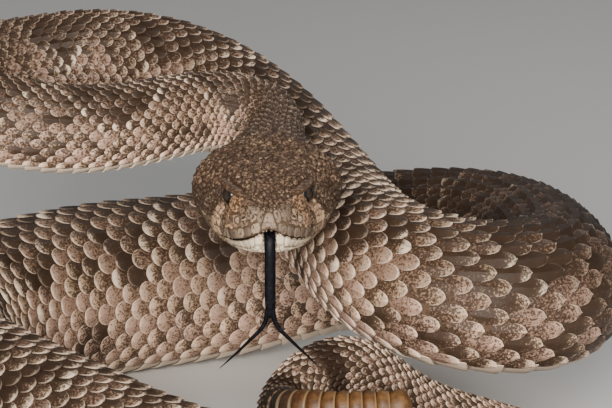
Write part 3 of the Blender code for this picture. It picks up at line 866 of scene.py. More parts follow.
def settled(along, base, out):
    """The places of scales near the head, moved onto the skin."""
    near = np.flatnonzero(along < NECK_ZONE[1])
    pull = fade(*NECK_ZONE, along[near])
    for i, share in zip(near, pull):
        place = neck_tree.find_nearest(Vector(base[i]))[0]
        off = (np.array(place) - base[i]) @ out[i]
        base[i] = base[i] + out[i] * (off * share)
    return base


def pressed_on(along, shares, lift, low_edge, settle):
    """Closed scales, one a row: the points of their tops, then those of low_edge again, lower."""
    count, each = along.shape
    flat_along, flat_share = along.ravel(), shares.ravel()
    angle = angle_at(np.where(flat_share > 1, flat_share - 2, flat_share))
    base = body_point(flat_along, angle, BODY_INSET)
    out = body_out(flat_along, angle)
    if settle:
        base = settled(flat_along, base, out)
    top = (base + out * lift.ravel()[:, None]).reshape(count, each, 3)
    bottom = top[:, low_edge] - out.reshape(count, each, 3)[:, low_edge] * SCALE_THICKNESS
    points = np.concatenate([top, bottom], axis=1).reshape(-1, 3)
    points[:, 2] = np.maximum(points[:, 2], FLOOR_GAP)
    return points


def patch_on_map(start, share, per_scale, p, q):
    """The flat map of scales: each is a tiny patch at the place of its root."""
    return np.repeat(on_map(start, share), per_scale, axis=0) + PATCH * np.stack([p - 0.5, q * 0.5], axis=-1)


print("rings of skin under the neck's scales:", neck_rows)

# %% [markdown]
# All body scales share one outline, broad in the middle and blunt at the tip, and one relief: the root sunk
# under the scale before, the tip free, the edges lower than the middle, and a keel that fades down the flank.
# Length, place and lift differ a little from scale to scale, as they do on the animal.

# %% The scales of the body
ROOT_STATIONS = np.array([0.0, 0.26, 0.5, 0.7, 0.84, 0.94, 1.0])
ACROSS_STATIONS = np.array([-1.0, -0.62, -0.17, 0.0, 0.17, 0.62, 1.0])
SCALE_LENGTH = 1.42  # as a share of the pitch
SCALE_HALF = 1.3 * BELLY_SHARE / ROWS  # half the width of a scale, as a share round the body
ROOT_LIFT, TIP_LIFT = -0.12, 0.92
EDGE_DROP = 0.34
KEEL, FLANK_KEEL, KEEL_HALF_WIDTH = 0.3, 0.06, 0.2
UNEVEN = 0.08  # how much scales differ in place and size
UNEVEN_LIFT = 0.12
MOST_STRETCH = 1.3
WHOLE_SHARE = 0.55  # how much of a scale's marking it has as a whole


def half_outline(p):
    """The half width of a scale from its root (0) to its tip (1), as a share of the widest place."""
    broad = 0.74 + 0.26 * np.sin(np.clip(p / 0.5, 0, 1) * math.pi / 2)
    tip = np.sqrt(np.clip(1 - np.clip((p - 0.5) / 0.5, 0, 1) ** 2.5, 0.012, 1))
    return broad * tip


def stretch(along, angle):
    """How much longer the skin is at a place than the middle of the body, because the body bends."""
    return np.linalg.norm(body_point(along + 1, angle, 0) - body_point(along - 1, angle, 0), axis=1) / 2


def scale_relief(p, q, chance, keel):
    """How high each point of the scales stands."""
    lift = ROOT_LIFT + (TIP_LIFT - ROOT_LIFT) * p**0.85 + UNEVEN_LIFT * (chance[:, None] - 0.5) * p
    lift = lift - EDGE_DROP * np.abs(q) ** 2.2 * (0.4 + 0.6 * p)
    ridge = np.exp(-((q / KEEL_HALF_WIDTH) ** 2)) * np.sin(p * math.pi * 0.86) ** 0.6
    return lift + keel[:, None] * ridge


def scale_faces(rows, columns):
    """The quads of one scale and its two ends, where only its long edges are repeated lower."""
    left = np.arange(rows) * columns
    right = left + columns - 1
    low_left = rows * columns + np.arange(rows)
    low_right = low_left + rows
    quads = [grid_faces(rows, columns)]
    quads.append(np.stack([left[:-1], left[1:], low_left[1:], low_left[:-1]], axis=-1))
    quads.append(np.stack([right[1:], right[:-1], low_right[:-1], low_right[1:]], axis=-1))
    quads.append(np.stack([low_left[:-1], low_left[1:], low_right[1:], low_right[:-1]], axis=-1))
    first = np.arange(columns)
    root_end = np.concatenate([first, [low_right[0], low_left[0]]])[::-1]
    tip_end = np.concatenate([first + (rows - 1) * columns, [low_right[-1], low_left[-1]]])
    return np.concatenate(quads), np.stack([root_end, tip_end]), np.concatenate([left, right])


def lay_scales(seeds):
    """Points, marks, spots and map places of all the body scales."""
    count = len(seeds)
    p, q = every_pair(ROOT_STATIONS, ACROSS_STATIONS)
    chance = rng.random(count)
    start = seeds[:, 0] + UNEVEN * (rng.random(count) - 0.5) * seeds[:, 2]
    share = seeds[:, 1] + UNEVEN * (rng.random(count) - 0.5) * 0.02
    size = 1 + UNEVEN * (rng.random(count) - 0.5)
    lengths = SCALE_LENGTH * seeds[:, 2] / np.maximum(1, stretch(start + 3, angle_at(share)) / MOST_STRETCH)
    along = start[:, None] + p * lengths[:, None] * size[:, None]
    shares = share[:, None] + q * half_outline(p) * (SCALE_HALF * size)[:, None]
    near_spine = fade(0.5, 0.72, np.abs(seeds[:, 1]))
    keels = KEEL * near_spine * smooth_step(6, 16, girth(seeds[:, 0])[0])
    lift = scale_relief(p, q, chance, keels + FLANK_KEEL)
    points = pressed_on(along, shares, lift, LOW_EDGE, settle=True)
    per_scale = len(p) + len(LOW_EDGE)
    along, shares = (np.concatenate([own, own[:, LOW_EDGE]], axis=1).ravel() for own in (along, shares))
    p, q = (np.tile(np.concatenate([own, own[LOW_EDGE]]), count) for own in (p, q))
    chances = np.repeat(chance, per_scale)
    middle = np.repeat(start + 0.55 * lengths, per_scale)
    whole = all_marks(points, middle, np.repeat(share, per_scale), chances)
    marks = WHOLE_SHARE * whole + (1 - WHOLE_SHARE) * all_marks(points, along, shares, chances)
    rim = np.maximum(np.abs(q) ** 3 * smooth_step(0.2, 0.8, p), smooth_step(0.78, 1.0, p))
    spot = np.stack([p, rim, chances], axis=-1)
    return points, marks, spot, patch_on_map(start, share, per_scale, p, q)


SCALE_QUADS, SCALE_ENDS, LOW_EDGE = scale_faces(len(ROOT_STATIONS), len(ACROSS_STATIONS))
scale_arrays = lay_scales(seeds)
print("points in the body scales:", len(scale_arrays[0]))

# %% [markdown]
# One mesh with all scales would be too heavy to export well, and one mesh for each would be thousands. A few
# joined meshes, one after the other down the body, lie in between.

# %% The scales in a few pieces
PIECE_LIMIT = 195000
per_scale = len(scale_arrays[0]) // len(seeds)
triangles_each = 2 * len(SCALE_QUADS) + 2 * (SCALE_ENDS.shape[1] - 2)
parts = math.ceil(len(seeds) / (PIECE_LIMIT // triangles_each))
body_scales = []
for part in range(parts):
    low, high = round(len(seeds) * part / parts), round(len(seeds) * (part + 1) / parts)
    points, marks, spot, chart = (own[low * per_scale : high * per_scale] for own in scale_arrays)
    faces = [repeated(group, high - low, per_scale) for group in (SCALE_QUADS, SCALE_ENDS)]
    name = f"scales_{part + 1:02d}"
    body_scales.append(mesh_piece(name, points, faces, marks, spot, chart))
print("pieces:", [triangles(piece) for piece in body_scales])

# %% [markdown]
# Under the body one row of wide plates, the ventral scutes, runs from side to side. Each laps over the next
# one and its ends show along the flank as cream steps. They use the same grid, much wider and without a keel.

# %% The belly plates
SCUTE_ALONG = np.array([0.0, 0.4, 0.75, 0.95, 1.0])
SCUTE_ACROSS = np.linspace(-1, 1, 21)
SCUTE_SHARE = 1 - BELLY_SHARE + 0.03
SCUTE_LENGTH = 1.22  # as a share of the pitch
SCUTE_BOW = 0.16  # how far the middle lies behind the ends


def belly_plates():
    """The scutes as one joined mesh."""
    places = stations(HEAD_MARKS_END + 2, BODY_END - 3.0)
    starts, gaps = places[:-1], np.diff(places)
    count = len(starts)
    p, q = every_pair(SCUTE_ALONG, SCUTE_ACROSS)
    chance = rng.random(count)
    at_edge = p > 0.97
    along = starts[:, None] + gaps[:, None] * (p * SCUTE_LENGTH + SCUTE_BOW * (1 - q**2))
    shares = np.broadcast_to(1 + q * SCUTE_SHARE * (1 - 0.1 * at_edge), along.shape)
    lift = np.broadcast_to(-0.1 + 0.85 * p - 0.25 * at_edge - 0.12 * np.abs(q) ** 4, along.shape)
    points = pressed_on(along, shares, lift, np.arange(len(p)), settle=False)
    per_scute = 2 * len(p)
    faces = [repeated(sheet_faces(len(SCUTE_ALONG), len(SCUTE_ACROSS)), count, per_scute)]
    p, q = np.tile(p, 2 * count), np.tile(q, 2 * count)
    chances = np.repeat(chance, per_scute)
    shares = np.concatenate([shares, shares], axis=1).ravel()
    shares = np.where(shares > 1, 2 - shares, shares)
    marks = all_marks(points, np.repeat(starts, per_scute), shares, chances)
    spot = np.stack([p, smooth_step(0.85, 1.0, p), chances], axis=-1)
    chart = patch_on_map(starts, np.full(count, 0.97), per_scute, p, q)
    return mesh_piece("belly_plates", points, faces, marks, spot, chart)


belly = belly_plates()
print("belly plates:", triangles(belly), "triangles")

# %% [markdown]
# The head of a rattlesnake has large plates only on the face, along both lips and over the eyes. All the
# rest is a mosaic of small scales. The large plates are drawn as outlines on the face; the small
# ones fill what is left. Seeds are spread evenly over the skin, each takes the ground that is nearest to
# it, as cells do in a honeycomb, and each cell becomes a low dome with rounded corners.

# %% The head as a surface to build on
head_rows = int(np.sum(reach < HEAD_MARKS_END + 8))
head_count = head_rows * per_ring
head_points = skin_points[:head_count]
head_out = skin_out[:head_count]
head_quads = grid_faces(head_rows, per_ring, wrap=True)[:, ::-1]
head_tree = BVHTree.FromPolygons(head_points.tolist(), head_quads.tolist())


def onto_head(points):
    """The nearest places of the head's skin, their outward directions and the skin's corners there."""
    places, outs, corners = [], [], []
    for point in points:
        place, normal, face, _ = head_tree.find_nearest(Vector(point))
        corner = head_quads[face][0]
        if normal.dot(Vector(head_out[corner])) < 0:
            normal = -normal
        places.append(place)
        outs.append(normal)
        corners.append(corner)
    return np.array(places), np.array(outs), np.array(corners)


def face_sheet(side):
    """A function from (out, rise) on the face to a place of the skin."""

    def place_at(flat):
        found = []
        for out, rise in flat:
            start = np.array([side * out, 0, HEAD_HEIGHT]) + rise * camera_up - 100 * camera_ahead
            start, beyond = turned([start, start + camera_ahead])
            hit = head_tree.ray_cast(Vector(start), Vector(beyond - start))[0]
            if hit is None:
                hit = head_tree.find_nearest(Vector(start + 80 * (beyond - start)))[0]
            found.append(hit)
        return np.array(found)

    return place_at


LIP_AHEAD = np.concatenate([[24.5, 24.3], np.linspace(SNOUT_TIP, HEAD_BACK, 90)])
LIP_OUT = np.concatenate([[0.6, 1.3], [head_size(ahead)["lip_out"] for ahead in LIP_AHEAD[2:]]])
LIP_WAY = LIP_OUT[0] + distances(np.stack([LIP_OUT, LIP_AHEAD], axis=-1))


def lip_sheet(side, upper):
    """A function from (way along the lip, distance from the mouth line) to a place of the skin."""

    def place_at(flat):
        found = []
        for way, height in flat:
            ahead = np.interp(way, LIP_WAY, LIP_AHEAD)
            size = head_size(min(ahead, SNOUT_TIP))
            narrow = np.interp(way, LIP_WAY, LIP_OUT) / size["lip_out"]
            line = upper_outline(size)[::-1] if upper else lower_outline(size, LOWER_LIP_INSET)
            reach_here = distances(line)
            out = np.interp(height, reach_here, line[:, 0]) * narrow
            found.append((side * out, -ahead, np.interp(height, reach_here, line[:, 1])))
        return turned(found)

    return place_at


def rounded(corners, count):
    """A closed outline of evenly spaced points, with the corners cut off."""
    line = np.asarray(corners, float)
    after = np.roll(line, -1, axis=0)
    line = np.stack([line * 0.75 + after * 0.25, line * 0.25 + after * 0.75], axis=1).reshape(-1, 2)
    closed = np.concatenate([line, line[:1]])
    way = distances(closed)
    at = np.linspace(0, way[-1], count, endpoint=False)
    return np.stack([np.interp(at, way, closed[:, 0]), np.interp(at, way, closed[:, 1])], axis=-1)


print("head surface:", head_count, "points")

# %% [markdown]
# A plate is a stack of smaller and smaller outlines over the same ground: sunk at its rim, steep at its
# edge and nearly flat on top. The same helper makes the big plates and the small ones.

# %% A plate
RING_SHARES = (1.0, 0.98, 0.88, 0.6, 0.25)  # how large each outline is
RING_LIFTS = (-0.25, 0.45, 0.85, 1.0, 1.02)  # how high it lies, as a share of the plate's height
PLATE_WHOLE_SHARE = 0.6  # how much of a plate's marking it has as a whole


class Plates:
    """Collects plates and turns them into one joined mesh."""

    def __init__(self, sides):
        self.sides = sides
        self.points, self.outs, self.spots, self.corners, self.middles = [], [], [], [], []

    def by_ring(self, values, centre):
        """A value for each point of a plate, from one for each ring and one for the centre."""
        return np.concatenate([np.full(self.sides, value) for value in values] + [[centre]])

    def add(self, outline, sheet, height, keel=0.0, tilt=0.0, chance=0.5):
        """One plate from an outline of self.sides places that sheet lays on the head."""
        middle = outline.mean(axis=0)
        flat = np.concatenate([middle + (outline - middle) * share for share in RING_SHARES] + [middle[None]])
        places, outs, corners = onto_head(sheet(flat))
        aft = places - places[-1]
        run = aft @ turned_aft
        span = max(np.abs(run).max(), 1e-6)
        p = run / span
        share, lifts = self.by_ring(RING_SHARES, 0.0), self.by_ring(RING_LIFTS, 1.0) * height
        out = outs[-1]
        across = np.cross(out, turned_aft)
        q = (aft @ across) / span
        ridge = np.exp(-((q / 0.22) ** 2)) * (1 - np.abs(p) ** 3) * np.clip((1 - share) * 4, 0, 1)
        lifts = lifts + keel * ridge + tilt * (p * 0.5 + 0.5) * (lifts > 0)
        self.points.append(places + outs * lifts[:, None])
        self.spots.append(np.stack([p * 0.5 + 0.5, share**3, np.full(len(p), chance)], axis=-1))
        self.corners.append(np.full(len(p), corners[-1]))
        self.middles.append(np.repeat(places[-1:], len(p), axis=0))

    def mesh(self, name):
        """The joined mesh, with markings from the middle of each plate and from each corner."""
        count, each = len(self.points), len(self.points[0])
        points, spots = np.concatenate(self.points), np.concatenate(self.spots)
        corners, middles = np.concatenate(self.corners), np.concatenate(self.middles)
        rings = len(RING_SHARES)
        last_ring = (rings - 1) * self.sides + np.arange(self.sides)
        centre = np.full(self.sides, rings * self.sides)
        fans = np.stack([last_ring, np.roll(last_ring, -1), centre], axis=-1)
        base = np.arange(self.sides)[None, ::-1]
        groups = (grid_faces(rings, self.sides, wrap=True), fans, base)
        faces = [repeated(group, count, each) for group in groups]
        along, share = skin_reach[corners], skin_share[corners]
        whole, own = (all_marks(where, along, share, spots[:, 2]) for where in (middles, points))
        marks = PLATE_WHOLE_SHARE * whole + (1 - PLATE_WHOLE_SHARE) * own
        chart = on_map(along, share) + PATCH * (spots[:, :2] - 0.5)
        return mesh_piece(name, points, faces, marks, spots, chart)


turned_aft = turned([(0, 1, 0)])[0] - turned([(0, 0, 0)])[0]
print("rings in a plate:", len(RING_SHARES))

# %% [markdown]
# The face plates, from the snout back: the rostral at the tip, two nasals with the nostril between them,
# the tall loreal and preocular plates in front of the eye. Their outlines are places on the face, out from
# the midline and up from the height of the head's middle, in millimetres.

# %% The face plates
ROSTRAL_HALF = ((0.8, -4.2), (1.35, -6.2), (1.95, -8.1), (1.2, -7.9))
ROSTRAL = ROSTRAL_HALF + tuple((-out, rise) for out, rise in ROSTRAL_HALF[::-1])
FACE_PLATES = (
    ((0.85, -4.0), (1.7, -3.4), (2.6, -4.3), (2.9, -6.3), (2.0, -7.0), (1.4, -6.1)),
    ((1.7, -3.4), (2.5, -2.7), (4.8, -2.4), (5.4, -3.4), (5.45, -5.6), (4.6, -6.6), (2.9, -6.3), (2.6, -4.3)),
    ((2.5, -2.7), (3.2, -1.8), (5.3, -0.8), (5.9, -2.4), (5.4, -3.4), (4.8, -2.4)),
    ((5.4, -3.4), (5.9, -2.4), (6.8, -2.5), (7.0, -4.0), (6.2, -4.7), (5.8, -6.4), (5.45, -5.6)),
    ((5.3, -0.8), (6.9, -0.1), (6.8, -2.5), (5.9, -2.4)),
    ((6.9, -0.1), (8.9, 0.6), (9.3, -1.2), (9.0, -3.2), (7.9, -4.1), (7.0, -4.0), (6.8, -2.5)),
)
PLATE_GAP = 0.05
LARGE_SIDES = 26
large = Plates(LARGE_SIDES)


def both_sides(flat):
    """Places on the face for outlines that cross the midline."""
    return np.array([face_sheet(1 if out > 0 else -1)([(abs(out), rise)])[0] for out, rise in flat])


large.add(rounded(ROSTRAL, LARGE_SIDES), both_sides, 0.45)
for side in (-1, 1):
    sheet = face_sheet(side)
    for corners in FACE_PLATES:
        outline = rounded(corners, LARGE_SIDES)
        outline = outline + PLATE_GAP * unit(outline.mean(axis=0) - outline)
        large.add(outline, sheet, 0.4, chance=rng.random())
print("face plates:", len(large.points))

# %% [markdown]
# Both lips are rows of plates, the labials, a dozen a side, tallest near the snout. They are laid out along
# the mouth line, by the way along the lip and the distance up or down from that line.

# %% The lip plates
LIP_PLATES = 12
LIP_SEAM = 0.03
UPPER_LIP, LOWER_LIP = (-0.1, 0.35), (0.05, 0.5)  # where the plates start above the mouth line, their lean


def lip_row(upper, first, last_ahead, front_height, back_height):
    """A row of plates along one lip on both sides."""
    last = np.interp(-last_ahead, -LIP_AHEAD, LIP_WAY)
    edges = first + (last - first) * np.linspace(0, 1, LIP_PLATES + 1) ** 1.15
    low, lean = UPPER_LIP if upper else LOWER_LIP
    for side in (-1, 1):
        sheet = lip_sheet(side, upper)
        for i in range(LIP_PLATES):
            height = front_height + (back_height - front_height) * (i + 0.5) / LIP_PLATES
            height *= 1 + 0.16 * (rng.random() - 0.5)
            front, back = edges[i] + LIP_SEAM, edges[i + 1] - LIP_SEAM
            shoulder = front if i == 0 else front + lean
            corners = ((front, low), (back, low), (back + lean, height * 0.93))
            corners += (((front + back) / 2 + lean, height * 1.08), (shoulder, height * 0.93))
            large.add(rounded(corners, LARGE_SIDES), sheet, 0.3, chance=rng.random())


lip_row(True, first=2.15, last_ahead=-11.0, front_height=2.5, back_height=2.3)
lip_row(False, first=1.95, last_ahead=-9.5, front_height=2.4, back_height=2.0)
print("with the lips:", len(large.points))

# %% [markdown]
# The small scales fill the rest. Ground that is taken, such as the eyes, the pits and the big plates, is
# marked first. Then seeds are dropped at random, no two closer than the size of the scales there, and
# ironed out by moving each to the middle of the ground that is nearest to it.

# %% The ground that is taken
BROW_PLATE_PLACE = (9.2, 6.9, 85.95)
BROW_PLATE_HALF_SIZES = (6.9, 2.9, 0.7)
BROW_PLATE_TOE_IN = math.radians(35)
BROW_PLATE_DIP = math.radians(9.5)
BROW_PLATE_ROLL = math.radians(8)
BROW_GROUND = 0.62  # the share of a brow plate under which no small scales grow
KEPT_CLEAR = (
    (EYE_PLACE, EYE_RADIUS + 0.12),
    (PIT_PLACE, PIT_RADIUS + 0.25),
    (NOSTRIL_PLACE, NOSTRIL_RADIUS),
)  # place and radius


def near_any(points, places, limit):
    """Which points lie within a limit of any of the places."""
    close = np.zeros(len(points), bool)
    for start in range(0, len(places), 200):
        gap = np.linalg.norm(points[:, None] - places[None, start : start + 200], axis=-1)
        close |= gap.min(axis=1) < limit
    return close


def brow_axes(side):
    """The middle of a brow plate and its directions: along it, across it, and up."""
    turn = Matrix.Rotation(HEAD_YAW - side * BROW_PLATE_TOE_IN, 3, "Z")
    turn = turn @ Matrix.Rotation(BROW_PLATE_DIP, 3, "X") @ Matrix.Rotation(-side * BROW_PLATE_ROLL, 3, "Y")
    axes = np.array(turn)
    return on_head(BROW_PLATE_PLACE, side), -axes[:, 1], axes[:, 0] * side, axes[:, 2]


taken = near_any(head_points, np.concatenate(large.points), 0.36)
for side in (-1, 1):
    for place, radius in KEPT_CLEAR:
        taken |= near_any(head_points, on_head(place, side)[None], radius)
    middle, along_brow, across_brow, up_brow = brow_axes(side)
    off = head_points - middle
    length, width, _ = BROW_PLATE_HALF_SIZES
    inside = np.hypot(off @ along_brow / length, off @ across_brow / width) < BROW_GROUND
    taken |= inside & (np.abs(off @ up_brow) < 1.0)
mouth_columns = list(range(UPPER_COUNT - 1, UPPER_COUNT + 3))
mouth_columns += [(per_ring - column) % per_ring for column in mouth_columns]
in_mouth_columns = np.isin(np.tile(np.arange(per_ring), head_rows), mouth_columns)
taken |= in_mouth_columns & (-turned_back(head_points)[:, 1] > MOUTH_CORNER)
taken |= in_notch[:head_count] > 0.5
in_reach = skin_reach[:head_count] < HEAD_MARKS_END + 1.5
print("taken:", int(taken.sum()), "free:", int((~taken & in_reach).sum()))

# %% [markdown]
# The small scales are finest between the eyes and grow towards the neck, the cheeks and the chin. Dropping
# seeds that keep their distance gives an even scatter without rows, and ironing it out a few times gives
# cells of nearly one size, as on the animal.

# %% Seeds of the small scales
CHUNK = 1500  # how many points are measured at once
IRONING_ROUNDS = 4


def small_size(points):
    """How far apart the small scales are at places of the head."""
    _, _, ahead, up = face_place(points)
    back = smooth_step(6, -14, ahead)
    size = 1.05 + 0.75 * back + 0.3 * smooth_step(86, 80, up) * smooth_step(14, 4, ahead)
    under = smooth_step(74.5, 72.5, up)
    return np.where(under > 0.5, 1.9 + 0.4 * back, size)


def spread(points, sizes, order):
    """The numbers of points picked in an order so that none is nearer to another than its size."""
    kept = []
    kept_points = np.zeros((len(order), 3))
    for i in order:
        if kept:
            gap = np.linalg.norm(kept_points[: len(kept)] - points[i], axis=1)
            if gap.min() < sizes[i]:
                continue
        kept_points[len(kept)] = points[i]
        kept.append(i)
    return np.array(kept)


def ironed(points, seeds_at, fixed_at):
    """Moves each seed to the middle of its ground, a few times over."""
    seeds_here = points[seeds_at]
    for _ in range(IRONING_ROUNDS):
        everyone = np.concatenate([seeds_here, fixed_at])
        owner = np.zeros(len(points), int)
        for start in range(0, len(points), CHUNK):
            gap = np.linalg.norm(points[start : start + CHUNK, None] - everyone[None], axis=-1)
            owner[start : start + CHUNK] = gap.argmin(axis=1)
        total = np.zeros((len(everyone), 3))
        count = np.zeros(len(everyone))
        np.add.at(total, owner, points)
        np.add.at(count, owner, 1)
        mean = total / np.maximum(count, 1)[:, None]
        seeds_here = np.where(count[: len(seeds_here), None] > 0, mean[: len(seeds_here)], seeds_here)
    return seeds_here


free = np.flatnonzero(~taken & in_reach)
block = np.flatnonzero(taken)
blockers = block[spread(head_points[block], np.full(len(block), 0.55), rng.permutation(len(block)))]
sizes = small_size(head_points[free]) * 0.86
picked = free[spread(head_points[free], sizes, rng.permutation(len(free)))]
picked = np.searchsorted(free, picked)
small_seeds = ironed(head_points[free], picked, head_points[blockers])
small_seeds, small_outs, _ = onto_head(small_seeds)
print("small scales:", len(small_seeds), "blockers:", len(blockers))

# %% [markdown]
# Each small scale is cut out in the plane that touches the head at its seed: the plane is clipped half way
# to every neighbour, which leaves a cell with five to seven sides.

# %% The small scales
SMALL_SIDES = 14
CELL_GAP = 0.06
GROUND_GAP = 0.28  # between a small scale and ground that is taken


def clipped(cell, normal, limit):
    """The part of a convex cell that lies on the near side of a line."""
    kept = []
    side = cell @ normal - limit
    for i in range(len(cell)):
        j = (i + 1) % len(cell)
        if side[i] <= 0:
            kept.append(cell[i])
        if side[i] * side[j] < 0:
            t = side[i] / (side[i] - side[j])
            kept.append(cell[i] + (cell[j] - cell[i]) * t)
    return np.array(kept)


def cell_of(seed, out, others, solid, reach_mm):
    """The cell of a seed as an outline in its plane, and the plane's two directions."""
    aft = turned_aft - out * (turned_aft @ out)
    first = aft / max(np.linalg.norm(aft), 1e-9)
    second = np.cross(out, first)
    angles = round_angles(12)
    cell = np.stack([np.cos(angles), np.sin(angles)], axis=-1) * reach_mm
    cell[:, 0] *= 1.1
    for other, is_solid in zip(others, solid):
        off = other - seed
        flat = np.array([off @ first, off @ second])
        gap = np.linalg.norm(flat)
        if gap > 1e-6:
            limit = gap - GROUND_GAP if is_solid else gap / 2 - CELL_GAP
            cell = clipped(cell, flat / gap, max(limit, 0.12))
            if len(cell) < 3:
                return None, first, second
    return cell, first, second


def plane_sheet(seed, first, second):
    """A function from places in a scale's own plane to places in space."""

    def place_at(flat):
        return seed + flat[:, :1] * first + flat[:, 1:] * second

    return place_at


small = Plates(SMALL_SIDES)
everyone = np.concatenate([small_seeds, head_points[blockers]])
is_ground = np.arange(len(everyone)) >= len(small_seeds)
sizes = small_size(small_seeds)
for seed, out, size in zip(small_seeds, small_outs, sizes):
    gap = np.linalg.norm(everyone - seed, axis=1)
    is_near = (gap < 3.0 * size) & (gap > 1e-6)
    cell, first, second = cell_of(seed, out, everyone[is_near], is_ground[is_near], size * 0.85)
    if cell is None:
        continue
    keel = 0.2 * (out[2] > 0.1) * size / 1.6
    outline = rounded(cell, SMALL_SIDES)
    sheet = plane_sheet(seed, first, second)
    small.add(outline, sheet, 0.16 + 0.09 * size, keel=keel, tilt=0.07 * size, chance=rng.random())
head_large = large.mesh("head_plates")
head_small = small.mesh("head_scales")
print("head plates:", triangles(head_large), "head scales:", triangles(head_small), "triangles")

# %% [markdown]
# Over each eye juts one long plate, the supraocular, which gives the snake its frown. It is an almond
# outline, thin at its outer edge and hollow below, so that the eye lies in its shade. Its underside is
# painted fully dark as well, as painted shade.

# %% The brow plates
BROW_ALONG, BROW_ACROSS = 25, 13
BROW_GRID = BROW_ALONG * BROW_ACROSS
# the underside of each brow plate is painted fully dark, as the shade under the plate
BROW_TOP_MARK, BROW_UNDERSIDE_SHADE = (0.5, 0.0, 0.4), (1.0, 0.0, 0.0)


def brow_plate(side):
    """The corners, faces and spots of one brow plate."""
    middle, along_brow, across_brow, up_brow = brow_axes(side)
    length, width, thick = BROW_PLATE_HALF_SIZES
    s, t = every_pair(np.linspace(-1, 1, BROW_ALONG), np.linspace(-1, 1, BROW_ACROSS))
    half = np.clip(1 - np.abs(s) ** 2.0, 0.0, 1) ** 0.8 * (1 + 0.2 * s)
    x, y = s * length * 1.02, t * half * width * 1.04
    crown = (1 - 0.75 * t**2) * (1 - 0.7 * s**4)
    top = thick * (0.75 * crown + 0.12 * t) + 0.1
    bottom = thick * (-0.45 + 0.25 * (1 - t**2)) - 0.2
    rim = np.maximum(np.abs(t), np.abs(s) ** 3)
    top = top * (1 - smooth_step(0.93, 1.0, rim) * 0.55)
    droop = 0.45 * np.maximum(s, 0) ** 3 + 0.15 * np.maximum(t, 0) ** 2
    flat = middle + np.outer(x, along_brow) + np.outer(y, across_brow)
    points = np.concatenate([flat + np.outer(height - droop, up_brow) for height in (top, bottom)])
    faces = sheet_faces(BROW_ALONG, BROW_ACROSS)
    spot = np.stack([0.5 - s * 0.5, rim, np.full(BROW_GRID, 0.4)], axis=-1)
    return points, [faces[:, ::-1] if side > 0 else faces], np.concatenate([spot, spot])


brow_points, brow_faces, brow_spots = joined([brow_plate(side) for side in (-1, 1)])
brow_marks = np.tile(BROW_TOP_MARK, (len(brow_points), 1))
# painted shade on the underside
brow_marks[np.arange(len(brow_points)) % (2 * BROW_GRID) >= BROW_GRID] = BROW_UNDERSIDE_SHADE
brows = mesh_piece("brow_plates", brow_points, brow_faces, brow_marks, brow_spots)
print("brow plates:", triangles(brows), "triangles")

# %% [markdown]
# The eyes are balls with a clear, wet front and an upright slit for a pupil. Each corner of the ball knows
# how far it lies across and up from the line of sight, so the material can draw the slit and the rings of
# the iris as sharp as the render needs, without a picture.

# %% The eyes
EYE_FORWARD = math.radians(24)
EYE_UP = math.radians(6)
EYE_RINGS, EYE_SEGMENTS = 40, 56
POLE = 0.001  # the first ring lies this far from the pole, so that no two corners meet


def make_eye(name, side, solid):
    """One eyeball that looks out and a little forward."""
    out, ahead = math.cos(EYE_FORWARD), math.sin(EYE_FORWARD)
    sight = unit(np.array([side * out * math.cos(EYE_UP), -ahead, math.sin(EYE_UP)]))
    aside = unit(np.cross(sight, (0, 0, 1)))
    above = np.cross(aside, sight)
    polar, around = every_pair(np.linspace(POLE, math.pi - POLE, EYE_RINGS), round_angles(EYE_SEGMENTS))
    x, y, z = np.sin(polar) * np.cos(around), np.sin(polar) * np.sin(around), np.cos(polar)
    ball = np.outer(x, aside) + np.outer(y, above) + np.outer(z, sight)
    points = on_head(EYE_PLACE, side) + EYE_RADIUS * ball
    faces = tube_faces(EYE_RINGS, EYE_SEGMENTS)
    eye = mesh_piece(name, points, faces, spot=np.stack([x, y, z], axis=-1), sharp=None)
    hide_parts(solid)
    return eye


eyes = [make_eye("eyeball_right", -1, "eye_right"), make_eye("eyeball_left", 1, "eye_left")]
print("eyes:", [eye.name for eye in eyes])

# %% [markdown]
# Between each eye and nostril is the pit with which the snake feels warmth: a small cup with a rolled rim
# and a pale floor. It is turned on a lathe: one profile, swept round its own middle.

# %% The heat pits
PIT_PROFILE = (
    (1.42, -0.6), (1.3, -0.08), (1.2, 0.04), (1.11, 0.03), (1.04, -0.06),
    (0.98, -0.3), (0.88, -0.38), (0.5, -0.3), (0.0, -0.26),
)
PIT_RIM = (1, 2, 3)  # the places of the profile that are hooded above
PIT_HOOD = 0.16
PIT_SEGMENTS = 32
NOSTRIL_SIZE = 0.5  # as a share of a pit
# a nostril's cup ends in the dark wall colour, painted shade, so it shows no floor
DEEPEST_SHOWN = 0.6  # a nostril shows no floor


def pit_cup(place, side, size, deepest):
    """The corners and faces of one cup, and how deep in it each corner lies."""
    _, out, _ = onto_head(on_head(place, side)[None])
    facing = unit(out[0] + np.array([0, -0.55, 0.1]))
    centre = on_head(place, side) + facing * 0.35 * size
    aside = unit(np.cross(facing, (0, 0, 1)))
    above = np.cross(aside, facing)
    points, spots = [], []
    for i, (radius, lift) in enumerate(PIT_PROFILE):
        for angle in round_angles(PIT_SEGMENTS):
            hood = PIT_HOOD * max(math.sin(angle), 0) if i in PIT_RIM else 0
            ring = radius * (math.cos(angle) * aside + math.sin(angle) * above)
            points.append(centre + size * (ring + facing * (lift + hood)))
            spots.append((0.0, min(i / (len(PIT_PROFILE) - 1), deepest), 0.5))
    faces = [grid_faces(len(PIT_PROFILE), PIT_SEGMENTS, wrap=True)]
    return np.array(points), faces, np.array(spots)


cups = []
for side in (-1, 1):
    cups.append(pit_cup(PIT_PLACE, side, 1.0, 1.0))
    cups.append(pit_cup(NOSTRIL_PLACE, side, NOSTRIL_SIZE, DEEPEST_SHOWN))
pit_points, pit_faces, pit_spots = joined(cups)
pits = mesh_piece("heat_pits", pit_points, pit_faces, spot=pit_spots, sharp=None)
print("pits and nostrils:", triangles(pits), "triangles")

# %% [markdown]
# The tongue is a soft black ribbon that leaves the mouth through a notch in the upper lip and forks. It is
# a sweep of ovals along a curve, and the two prongs are sweeps of their own that taper to a point.

